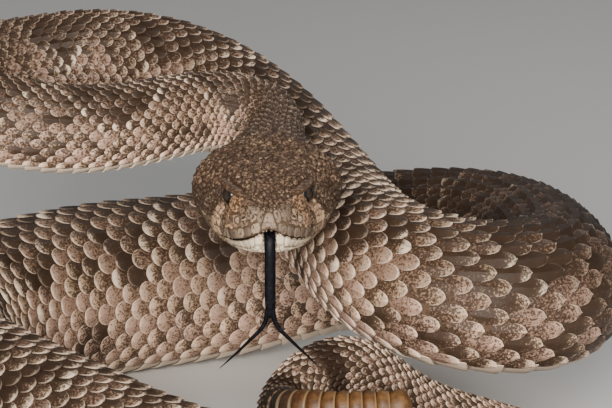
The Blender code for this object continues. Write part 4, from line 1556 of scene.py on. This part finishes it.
# %% The tongue
TONGUE_STEM = (
    (0.95, -19.9, 78.7), (1.1, -22.6, 78.75), (1.2, -24.3, 78.1), (1.25, -25.2, 76.4),
    (1.3, -25.7, 73), (1.3, -26, 67), (1.3, -26.2, 62), (1.3, -26.2, 59),
)
TONGUE_PRONG = ((0, 0, 4.5), (0.1, 0, 1.5), (0.9, 0, -1.8), (3.2, 0, -4.6))
TONGUE_PRONG += ((7.2, 0.1, -8.6), (11.4, 0.2, -12.6))
TONGUE_HALF_WIDTH, TONGUE_HALF_THICKNESS, TONGUE_TIP = 1.3, 0.62, 0.07
TONGUE_SIDES = 20
TONGUE_STEPS = 60
STEM_WIDTHS = (TONGUE_HALF_WIDTH,) * 6 + (1.25, 0.9)
STEM_THICKNESSES = (TONGUE_HALF_THICKNESS,) * 8
PRONG_WIDTHS = (0.5, 0.58, 0.5, 0.38, 0.25, TONGUE_TIP)
PRONG_THICKNESSES = (0.42, 0.45, 0.38, 0.3, 0.2, TONGUE_TIP)


def swept(points, widths, thicknesses):
    """Corners and faces of a closed oval tube along a smooth curve."""
    knots = distances(points)
    line = natural_cubic(knots, points)
    at = np.linspace(0, knots[-1], TONGUE_STEPS)
    ahead = unit(line(at + 0.02) - line(at - 0.02))
    across = unit(np.cross(ahead, np.tile((0, 1.0, 0.35), (TONGUE_STEPS, 1))))
    across[ahead[:, 1] < -0.6] = (1, 0, 0)
    for i in range(1, TONGUE_STEPS):
        if across[i] @ across[i - 1] < 0:
            across[i] *= -1
    over = np.cross(across, ahead)
    width, thick = (np.interp(at / knots[-1], np.linspace(0, 1, len(s)), s) for s in (widths, thicknesses))
    angles = round_angles(TONGUE_SIDES)
    tube = rings_round(line(at), across, over, width, thick, np.cos(angles), np.sin(angles))
    return tube, tube_faces(TONGUE_STEPS, TONGUE_SIDES), None


strands = [swept(TONGUE_STEM, STEM_WIDTHS, STEM_THICKNESSES)]
for side in (-1, 1):
    root = np.array(TONGUE_STEM[-1]) + (side * 0.45 * TONGUE_HALF_WIDTH, 0, 0)
    prong = [root + (side * x, y, z) for x, y, z in TONGUE_PRONG]
    strands.append(swept(prong, PRONG_WIDTHS, PRONG_THICKNESSES))
tongue_points, tongue_faces, _ = joined(strands)
tongue = mesh_piece("tongue_ribbon", tongue_points, tongue_faces, sharp=None)
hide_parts("tongue")
print("tongue:", triangles(tongue), "triangles")

# %% [markdown]
# The rattle is a chain of hollow horn segments. Each is a lobed ring that grips the next, with a deep groove
# between them, a flat groove along each side and a smaller button at the end. One profile is repeated.

# %% The rattle
RATTLE_LOBES = 10
RATTLE_BUTTON = 5.4  # the length of the last segment
RATTLE_SIDES = 48
RATTLE_PROFILE = (
    (0.0, 0.88), (0.07, 0.92), (0.18, 0.975), (0.32, 1.0), (0.5, 1.005),
    (0.68, 0.99), (0.82, 0.965), (0.92, 0.95), (0.965, 0.93), (0.985, 0.89),
)
RATTLE_WAIST = 0.13
RATTLE_START = BODY_END + 1.5  # the last scales of the tail lap over its root
RATTLE_END = KNOTS[-1]
LOBE_SHRINK, LAST_FULL_LOBE = 0.02, 4
RATTLE_SHARP = math.radians(60)


def make_rattle():
    """The rattle as one closed piece, with each corner's place in its lobe."""
    stack = []
    lobe_length = (RATTLE_END - RATTLE_BUTTON - RATTLE_START) / RATTLE_LOBES
    start = RATTLE_START
    for lobe in range(RATTLE_LOBES + 1):
        last = lobe == RATTLE_LOBES
        length = RATTLE_BUTTON if last else lobe_length
        for t, size in RATTLE_PROFILE:
            if last:
                size = size * math.sqrt(max(1 - (max(t - 0.45, 0) / 0.56) ** 2.4, 0.02))
            size = size * (1 - LOBE_SHRINK * max(lobe - LAST_FULL_LOBE, 0))
            stack.append((start + t * length, size, min(t, 0.7) if last else t, lobe / RATTLE_LOBES))
        start += length
    along, swell, place_in_lobe, lobe_share = np.array(stack).T
    along = np.minimum(along, RATTLE_END - 0.02)
    place, _, across, up = frames(along)
    half_width, half_height = girth(along)
    angle = round_angles(RATTLE_SIDES)
    side = np.sin(angle) * (1 - RATTLE_WAIST * np.abs(np.sin(angle)) ** 8)
    points = rings_round(place, across, up, half_width * swell, half_height * swell, side, np.cos(angle))
    faces = tube_faces(len(along), RATTLE_SIDES, flip=True)
    spot = np.repeat(np.stack([place_in_lobe, lobe_share, swell], axis=-1), RATTLE_SIDES, axis=0)
    return mesh_piece("rattle_segments", points, faces, spot=spot, sharp=RATTLE_SHARP)


rattle = make_rattle()
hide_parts("rattle")
print("rattle:", triangles(rattle), "triangles")

# %% [markdown]
# The skin stands for all the solids of flesh. They stay in the model for collision and aren't shown.

# %% What the skin stands for
flesh = [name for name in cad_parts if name.startswith(("body_", "tail_"))]
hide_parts("head", "lower_jaw", "neck", *sorted(flesh))
print("the skin replaces", len(flesh) + 3, "solids")

# %% [markdown]
# A museum would light the animal softly on a plain pale table. One small key light beside the camera gives
# the scales their short shadows, as the flash does in the photograph, a large weak light from the right opens
# them up, and a third one from behind draws the upper edges.

# %% Floor and light
LIGHT_AIM = (0, 0, 0.05)
SOFT_LIGHTS = (
    ("key", (-0.03, -0.7, 0.28), 0.24, 14.0, (1.0, 0.975, 0.94)),
    ("fill", (0.8, -0.55, 0.45), 0.7, 2.6, (0.95, 0.97, 1.0)),
    ("rim", (0.25, 0.7, 0.85), 0.6, 1.9, (1.0, 1.0, 1.0)),
)  # name, place, size, power and colour
bpy.ops.mesh.primitive_plane_add(size=6, location=(0, 0, 0))
floor = bpy.context.active_object
floor.name = "floor"
world = bpy.data.worlds.new("studio")
bpy.context.scene.world = world
world.use_nodes = True
world.node_tree.nodes["Background"].inputs["Color"].default_value = (0.85, 0.88, 0.92, 1)
world.node_tree.nodes["Background"].inputs["Strength"].default_value = 0.24
for name, place, size, power, light_colour in SOFT_LIGHTS:
    lamp = bpy.data.lights.new(name, "AREA")
    lamp.shape = "SQUARE"
    lamp.size = size
    lamp.energy = power
    lamp.color = light_colour
    holder = bpy.data.objects.new(name, lamp)
    bpy.context.scene.collection.objects.link(holder)
    holder.location = place
    holder.rotation_euler = (Vector(LIGHT_AIM) - Vector(place)).to_track_quat("-Z", "Y").to_euler()
print("lights:", len(SOFT_LIGHTS))

# %% [markdown]
# The materials are built from nodes. Adding each node takes three or four lines of code, so one small class
# holds a tree and gives short words for what is done most: mix two colours, do a sum, turn a value into a
# soft mask, read what the mesh holds at its corners.

# %% A class for wiring nodes
class Wiring:
    """Adds nodes to one tree and links them."""

    def __init__(self, tree):
        self.tree = tree

    def add(self, kind, **settings):
        """A new node with its settings."""
        node = self.tree.nodes.new("ShaderNode" + kind)
        for key, value in settings.items():
            setattr(node, key, value)
        return node

    def feed(self, socket, value):
        """Links an output to a socket, or sets the socket to a plain value."""
        if isinstance(value, bpy.types.NodeSocket):
            self.tree.links.new(value, socket)
        else:
            socket.default_value = value

    def mixed(self, factor, first, second, blend="MIX"):
        """The first colour turned into the second by the factor."""
        node = self.add("Mix", data_type="RGBA", blend_type=blend)
        node.clamp_factor = True
        for number, value in ((0, factor), (6, first), (7, second)):
            self.feed(node.inputs[number], value)
        return node.outputs[2]

    def sums(self, operation, first, second=0.0, third=0.0):
        """One sum of two or three values."""
        node = self.add("Math", operation=operation)
        for socket, value in zip(node.inputs, (first, second, third)):
            self.feed(socket, value)
        return node.outputs[0]

    def times(self, *values):
        """The product of two or more values."""
        product = values[0]
        for value in values[1:]:
            product = self.sums("MULTIPLY", product, value)
        return product

    def scaled(self, value, by, plus):
        """A value times by, plus another value."""
        return self.sums("MULTIPLY_ADD", value, by, plus)

    def mask(self, value, low, high):
        """0 below low, 1 above high, and smooth between."""
        node = self.add("MapRange", interpolation_type="SMOOTHSTEP")
        for label, given_value in (("Value", value), ("From Min", low), ("From Max", high)):
            self.feed(node.inputs[label], given_value)
        return node.outputs["Result"]

    def read(self, label):
        """The three numbers that the mesh holds under a label at each corner."""
        node = self.add("SeparateXYZ")
        self.feed(node.inputs[0], self.add("Attribute", attribute_name=label).outputs["Vector"])
        return node.outputs

    def noise(self, size_mm, detail=4.0, roughness=0.7, offset=0.0):
        """Noise whose patches are about size_mm across."""
        shifted = self.add("VectorMath", operation="ADD")
        self.feed(shifted.inputs[0], self.add("TexCoord").outputs["Object"])
        shifted.inputs[1].default_value = (offset, offset * 0.7, offset * 1.3)
        node = self.add("TexNoise")
        self.feed(node.inputs["Vector"], shifted.outputs[0])
        is_linked = isinstance(size_mm, bpy.types.NodeSocket)
        scale = self.sums("DIVIDE", 1 / MM, size_mm) if is_linked else 1 / (size_mm * MM)
        self.feed(node.inputs["Scale"], scale)
        node.inputs["Detail"].default_value = detail
        node.inputs["Roughness"].default_value = roughness
        return node.outputs["Fac"]


print("noise of 1 mm has a scale of", round(1 / MM))

# %% [markdown]
# A group is a small tree of its own with named sockets, which any material can hold with its own values. A
# finish is a material with the shader itself. Whatever is the same all over a surface is set straight on the
# shader, and only what changes over the surface comes through a link.

# %% Groups and finishes
def group(name, inputs, outputs):
    """An empty node group with named sockets, its input node and its output node."""
    tree = bpy.data.node_groups.new(name, "ShaderNodeTree")
    for label, (kind, value) in inputs.items():
        socket = tree.interface.new_socket(name=label, in_out="INPUT", socket_type="NodeSocket" + kind)
        socket.default_value = value
    for label, kind in outputs.items():
        tree.interface.new_socket(name=label, in_out="OUTPUT", socket_type="NodeSocket" + kind)
    return tree, tree.nodes.new("NodeGroupInput").outputs, tree.nodes.new("NodeGroupOutput").inputs


def finish(name, pieces, roughness, specular, coat=0.0, coat_roughness=0.1, ior=None):
    """Gives pieces a new material. Returns the wiring of its tree and its shader with its constant values."""
    material = bpy.data.materials.new(name)
    material.use_nodes = True
    shader = material.node_tree.nodes["Principled BSDF"]
    shader.inputs["Roughness"].default_value = roughness
    shader.inputs["Specular IOR Level"].default_value = specular
    shader.inputs["Coat Weight"].default_value = coat
    shader.inputs["Coat Roughness"].default_value = coat_roughness
    if ior:
        shader.inputs["IOR"].default_value = ior
    for piece in pieces:
        piece.data.materials.append(material)
    return Wiring(material.node_tree), shader


def relief(wire, shader, height, depth_mm):
    """A bump from a height between 0 and 1."""
    bump = wire.add("Bump")
    bump.inputs["Distance"].default_value = depth_mm * MM
    bump.inputs["Strength"].default_value = 1.0
    wire.feed(bump.inputs["Height"], height)
    wire.feed(shader.inputs["Normal"], bump.outputs["Normal"])


print("a bump of 0.1 mm is", 0.1 * MM, "m deep")

# %% [markdown]
# The colour of a snake sits in small grains of pigment. In the dark markings they crowd together, in the
# pale ones they thin out, and at the root of each scale they gather in an orange-brown smudge. So one group
# gives the colour of skin, scales and plates alike: grains by the marking, a paler tip and a thin pale rim.

# %% The pigment
PIGMENT_INPUTS = {
    "Ground": ("Color", (0.230, 0.152, 0.100, 1)),
    "Warm": ("Color", (0.47, 0.315, 0.230, 1)),
    "Dark": ("Color", (0.016, 0.0078, 0.0040, 1)),
    "Pale": ("Color", (0.68, 0.57, 0.44, 1)),
    "Root": ("Color", (0.085, 0.040, 0.018, 1)),
    "Rim": ("Color", (0.60, 0.46, 0.35, 1)),
    "Variation": ("Float", 0.5),
    "Grain Size": ("Float", 0.6),
    "Grain Amount": ("Float", 0.39),
    "Grain Depth": ("Float", 0.88),
    "Root Smudge": ("Float", 1.0),
    "Tip Only": ("Float", 1.0),
    "Rim Light": ("Float", 0.8),
}
PIGMENT_OUTPUTS = {"Color": "Color", "Grain": "Float", "Rim": "Float"}
TIP_LIGHT = (1.55, 1.5, 1.45, 1)
pigment, given, result = group("pigment", PIGMENT_INPUTS, PIGMENT_OUTPUTS)
wire = Wiring(pigment)
times, scaled, mask, mixed = wire.times, wire.scaled, wire.mask, wire.mixed
is_dark, is_pale, is_warm = wire.read("marks")
along_scale, rim_near, chance = wire.read("spot")
uneven = wire.noise(1.6, 3.0, 0.6, 7.7)
broad = wire.noise(5.0, 2.0, 0.5, 3.1)

# the ground, which differs from scale to scale
differ = times(wire.sums("SUBTRACT", chance, 0.5), given["Variation"])
bright = wire.add("HueSaturation")
wire.feed(bright.inputs["Color"], mixed(is_warm, given["Ground"], given["Warm"]))
wire.feed(bright.inputs["Value"], scaled(broad, 0.5, wire.sums("ADD", differ, 0.78)))
wire.feed(bright.inputs["Hue"], scaled(chance, 0.02, 0.49))
colour = bright.outputs[0]

# a lighter tip and an orange-brown root
tip = times(mask(scaled(uneven, 0.3, along_scale), 0.5, 1.1), scaled(is_warm, 0.75, 0.25))
lighter = mixed(1.0, colour, TIP_LIGHT, "MULTIPLY")
colour = mixed(times(tip, given["Tip Only"]), colour, lighter)
near_root = mask(scaled(uneven, -0.6, along_scale), 0.64, 0.16)
root = times(near_root, given["Root Smudge"], scaled(chance, 0.35, 0.3))
colour = mixed(root, colour, given["Root"])

# the pale and the dark of the markings
pale_end = mixed(given["Tip Only"], (1, 1, 1, 1), mask(along_scale, 0.62, 0.95))
pale_here = times(is_pale, pale_end)
colour = mixed(pale_here, colour, given["Pale"])
tint = scaled(is_dark, 0.5, times(mask(is_dark, 0.88, 1.0), 0.48))
tint = times(tint, wire.sums("SUBTRACT", 1.0, times(pale_here, 0.8)))
colour = mixed(tint, colour, given["Dark"])

# the grains, which crowd in the dark and at the root
crowd = scaled(is_dark, 0.25, times(given["Grain Amount"], 0.3))
crowd = scaled(pale_here, -0.22, scaled(root, 0.19, crowd))
fine = wire.noise(given["Grain Size"], 5.0, 0.7)
grain = mask(wire.sums("ADD", fine, crowd), 0.68, 0.77)
grain_colour = mixed(mask(is_dark, -0.4, 0.35), given["Root"], given["Dark"])
colour = mixed(times(grain, given["Grain Depth"]), colour, grain_colour)

# the thin rim, pale on the body's scales; the head's finish makes it dark, partly seams and partly painted
# shade
not_dark = wire.sums("SUBTRACT", 1.0, times(is_dark, 0.92))
colour = mixed(times(mask(rim_near, 0.72, 1.0), given["Rim Light"], not_dark), colour, given["Rim"])
for label, value in (("Color", colour), ("Grain", grain), ("Rim", rim_near)):
    wire.feed(result[label], value)
print("pigment nodes:", len(pigment.nodes))

# %% [markdown]
# Four finishes share that group. The scales use it as it is. The belly's plates are smoother and have hardly
# a smudge. The skin between the scales is dark, which makes each scale stand out. The head is browner, its
# scales differ more from one another, and their rims are dark: partly the seams between them, partly painted
# shade where plate meets plate.

# %% The finishes of the snake
NO_TIPS = {"Tip Only": 0.0, "Root Smudge": 0.0, "Rim Light": 0.0}
BELLY_VALUES = {"Tip Only": 0.25, "Root Smudge": 0.15, "Rim Light": 0.5}
SKIN_VALUES = NO_TIPS | {
    "Ground": (0.05, 0.028, 0.016, 1),
    "Warm": (0.12, 0.072, 0.043, 1),
    "Pale": (0.38, 0.30, 0.22, 1),
}
HEAD_VALUES = {
    "Ground": (0.158, 0.111, 0.078, 1),
    "Warm": (0.32, 0.175, 0.096, 1),
    "Dark": (0.022, 0.0115, 0.0060, 1),
    "Pale": (0.62, 0.51, 0.36, 1),
    # the dark rim of the head's plates and scales: partly dark seams, partly painted shade between them
    "Rim": (0.06, 0.032, 0.015, 1),
    "Variation": 1.3,
    "Grain Size": 0.8,
    "Grain Amount": 0.36,
    "Grain Depth": 0.9,
    "Root Smudge": 0.25,
    "Tip Only": 0.0,
    "Rim Light": 0.65,
}


def snake_finish(name, roughness, values, bump_mm, *pieces):
    """A finish from the pigment group with its own values, on the pieces that it is for."""
    wire, shader = finish(name, pieces, roughness, 0.14)
    placed = wire.add("Group", node_tree=pigment)
    for label, value in values.items():
        wire.feed(placed.inputs[label], value)
    fine_height = wire.noise(0.35, offset=1.3)
    wire.feed(shader.inputs["Base Color"], placed.outputs["Color"])
    wire.feed(shader.inputs["Roughness"], wire.scaled(fine_height, 0.3, roughness - 0.15))
    relief(wire, shader, fine_height, bump_mm)


snake_finish("scale_keratin", 0.5, {}, 0.10, *body_scales)
snake_finish("belly_keratin", 0.42, BELLY_VALUES, 0.05, belly)
snake_finish("skin_between", 0.7, SKIN_VALUES, 0.12, skin)
snake_finish("head_keratin", 0.52, HEAD_VALUES, 0.08, head_large, head_small, brows)
print("finishes of the skin and the scales:", 4)

# %% [markdown]
# The eye is nearly black in the photograph, with a wet gloss. Its slit, its dark outer ring and the streaks
# of the iris are drawn from the place that each corner of the ball knows.

# %% The finish of the eyes
wire, shader = finish("eye_wet", eyes, 0.2, 0.2, coat=0.15, coat_roughness=0.05, ior=1.3)
across, up, _ = wire.read("spot")
slit_width = wire.scaled(wire.times(up, up), -0.30, 0.17)
slit = wire.mask(wire.sums("SUBTRACT", wire.sums("ABSOLUTE", across), slit_width), 0.02, -0.02)
from_middle = wire.sums("SQRT", wire.scaled(across, across, wire.times(up, up)))
streaks = wire.mask(wire.noise(0.14), 0.42, 0.6)
iris = wire.mixed(streaks, (0.006, 0.005, 0.004, 1), (0.030, 0.021, 0.014, 1))
iris = wire.mixed(wire.mask(from_middle, 0.6, 0.8), iris, (0.004, 0.003, 0.003, 1))
iris = wire.mixed(slit, iris, (0.002, 0.002, 0.003, 1))
wire.feed(shader.inputs["Base Color"], iris)
print("nodes of the eye:", len(wire.tree.nodes))

# %% [markdown]
# The wall of a pit is painted nearly black, as the shade down in the hollow, and its floor and rim are tan
# with small specks. A nostril's cup stops inside that painted shade. How deep each corner lies is in the
# mesh, so one mask finds the wall.

# %% The finish of the pits
wire, shader = finish("pit_lining", [pits], 0.55, 0.4)
depth_in = wire.read("spot")[1]
# painted shade on the wall of the hollow
wall_painted_shade = wire.times(wire.mask(depth_in, 0.36, 0.5), wire.mask(depth_in, 0.86, 0.7))
specks = wire.noise(0.3)
tan = wire.mixed(wire.mask(specks, 0.4, 0.65), (0.27, 0.19, 0.115, 1), (0.15, 0.095, 0.052, 1))
wire.feed(shader.inputs["Base Color"], wire.mixed(wall_painted_shade, tan, (0.035, 0.02, 0.012, 1)))
relief(wire, shader, specks, 0.06)
print("nodes of the pits:", len(wire.tree.nodes))

# %% [markdown]
# The tongue is black with a bluish sheen where it is wet, so its roughness changes in small patches.

# %% The finish of the tongue
wire, shader = finish("tongue_wet", [tongue], 0.34, 0.12, ior=1.3)
damp = wire.noise(0.8, 3.0, 0.6)
black = wire.mixed(wire.mask(damp, 0.45, 0.75), (0.0015, 0.0015, 0.002, 1), (0.006, 0.006, 0.010, 1))
wire.feed(shader.inputs["Base Color"], black)
wire.feed(shader.inputs["Roughness"], wire.scaled(damp, 0.3, 0.28))
relief(wire, shader, wire.noise(0.5, 3.0, 0.6, 2.0), 0.05)
print("nodes of the tongue:", len(wire.tree.nodes))

# %% [markdown]
# The rattle is old horn: amber brown, mottled, with painted shade in the grooves, a worn pale line before
# each groove and fine fibres. Its first lobes are nearly black. Each corner knows its place in its lobe and
# its lobe's place in the rattle, and the finish is laid on coat by coat.

# %% The finish of the rattle
wire, shader = finish("rattle_horn", [rattle], 0.5, 0.3)
in_lobe, lobe_share, _ = wire.read("spot")
mottle = wire.mask(wire.noise(2.2, roughness=0.6), 0.35, 0.65)
fibre = wire.noise(0.5, offset=4.0)
# painted shade in the groove where one lobe meets the next
groove = wire.sums("MAXIMUM", wire.mask(in_lobe, 0.1, 0.0), wire.mask(in_lobe, 0.93, 0.99))
worn_line = wire.times(wire.mask(in_lobe, 0.8, 0.9), wire.mask(in_lobe, 0.97, 0.93))
horn = wire.mixed(lobe_share, (0.062, 0.025, 0.007, 1), (0.115, 0.055, 0.016, 1))
horn = wire.mixed(mottle, horn, wire.mixed(1.0, horn, (0.5, 0.42, 0.34, 1), "MULTIPLY"))
for where, coat in (
    (wire.mask(lobe_share, 0.36, 0.1), (0.010, 0.007, 0.005, 1)),
    (wire.times(groove, 0.85), (0.05, 0.02, 0.007, 1)),
    (wire.times(worn_line, 0.45), (0.24, 0.150, 0.065, 1)),
    (wire.times(wire.mask(fibre, 0.55, 0.75), 0.5), (0.09, 0.038, 0.012, 1)),
):
    horn = wire.mixed(where, horn, coat)
wire.feed(shader.inputs["Base Color"], horn)
relief(wire, shader, fibre, 0.1)
print("nodes of the rattle:", len(wire.tree.nodes))

# %% [markdown]
# The floor isn't part of the model. It is plain, pale and dull, so that nothing in it draws the eye.

# %% The finish of the floor
_, shader = finish("studio_floor", [floor], 0.8, 0.3)
shader.inputs["Base Color"].default_value = (0.60, 0.585, 0.56, 1)
print("floor:", floor.data.materials[0].name)
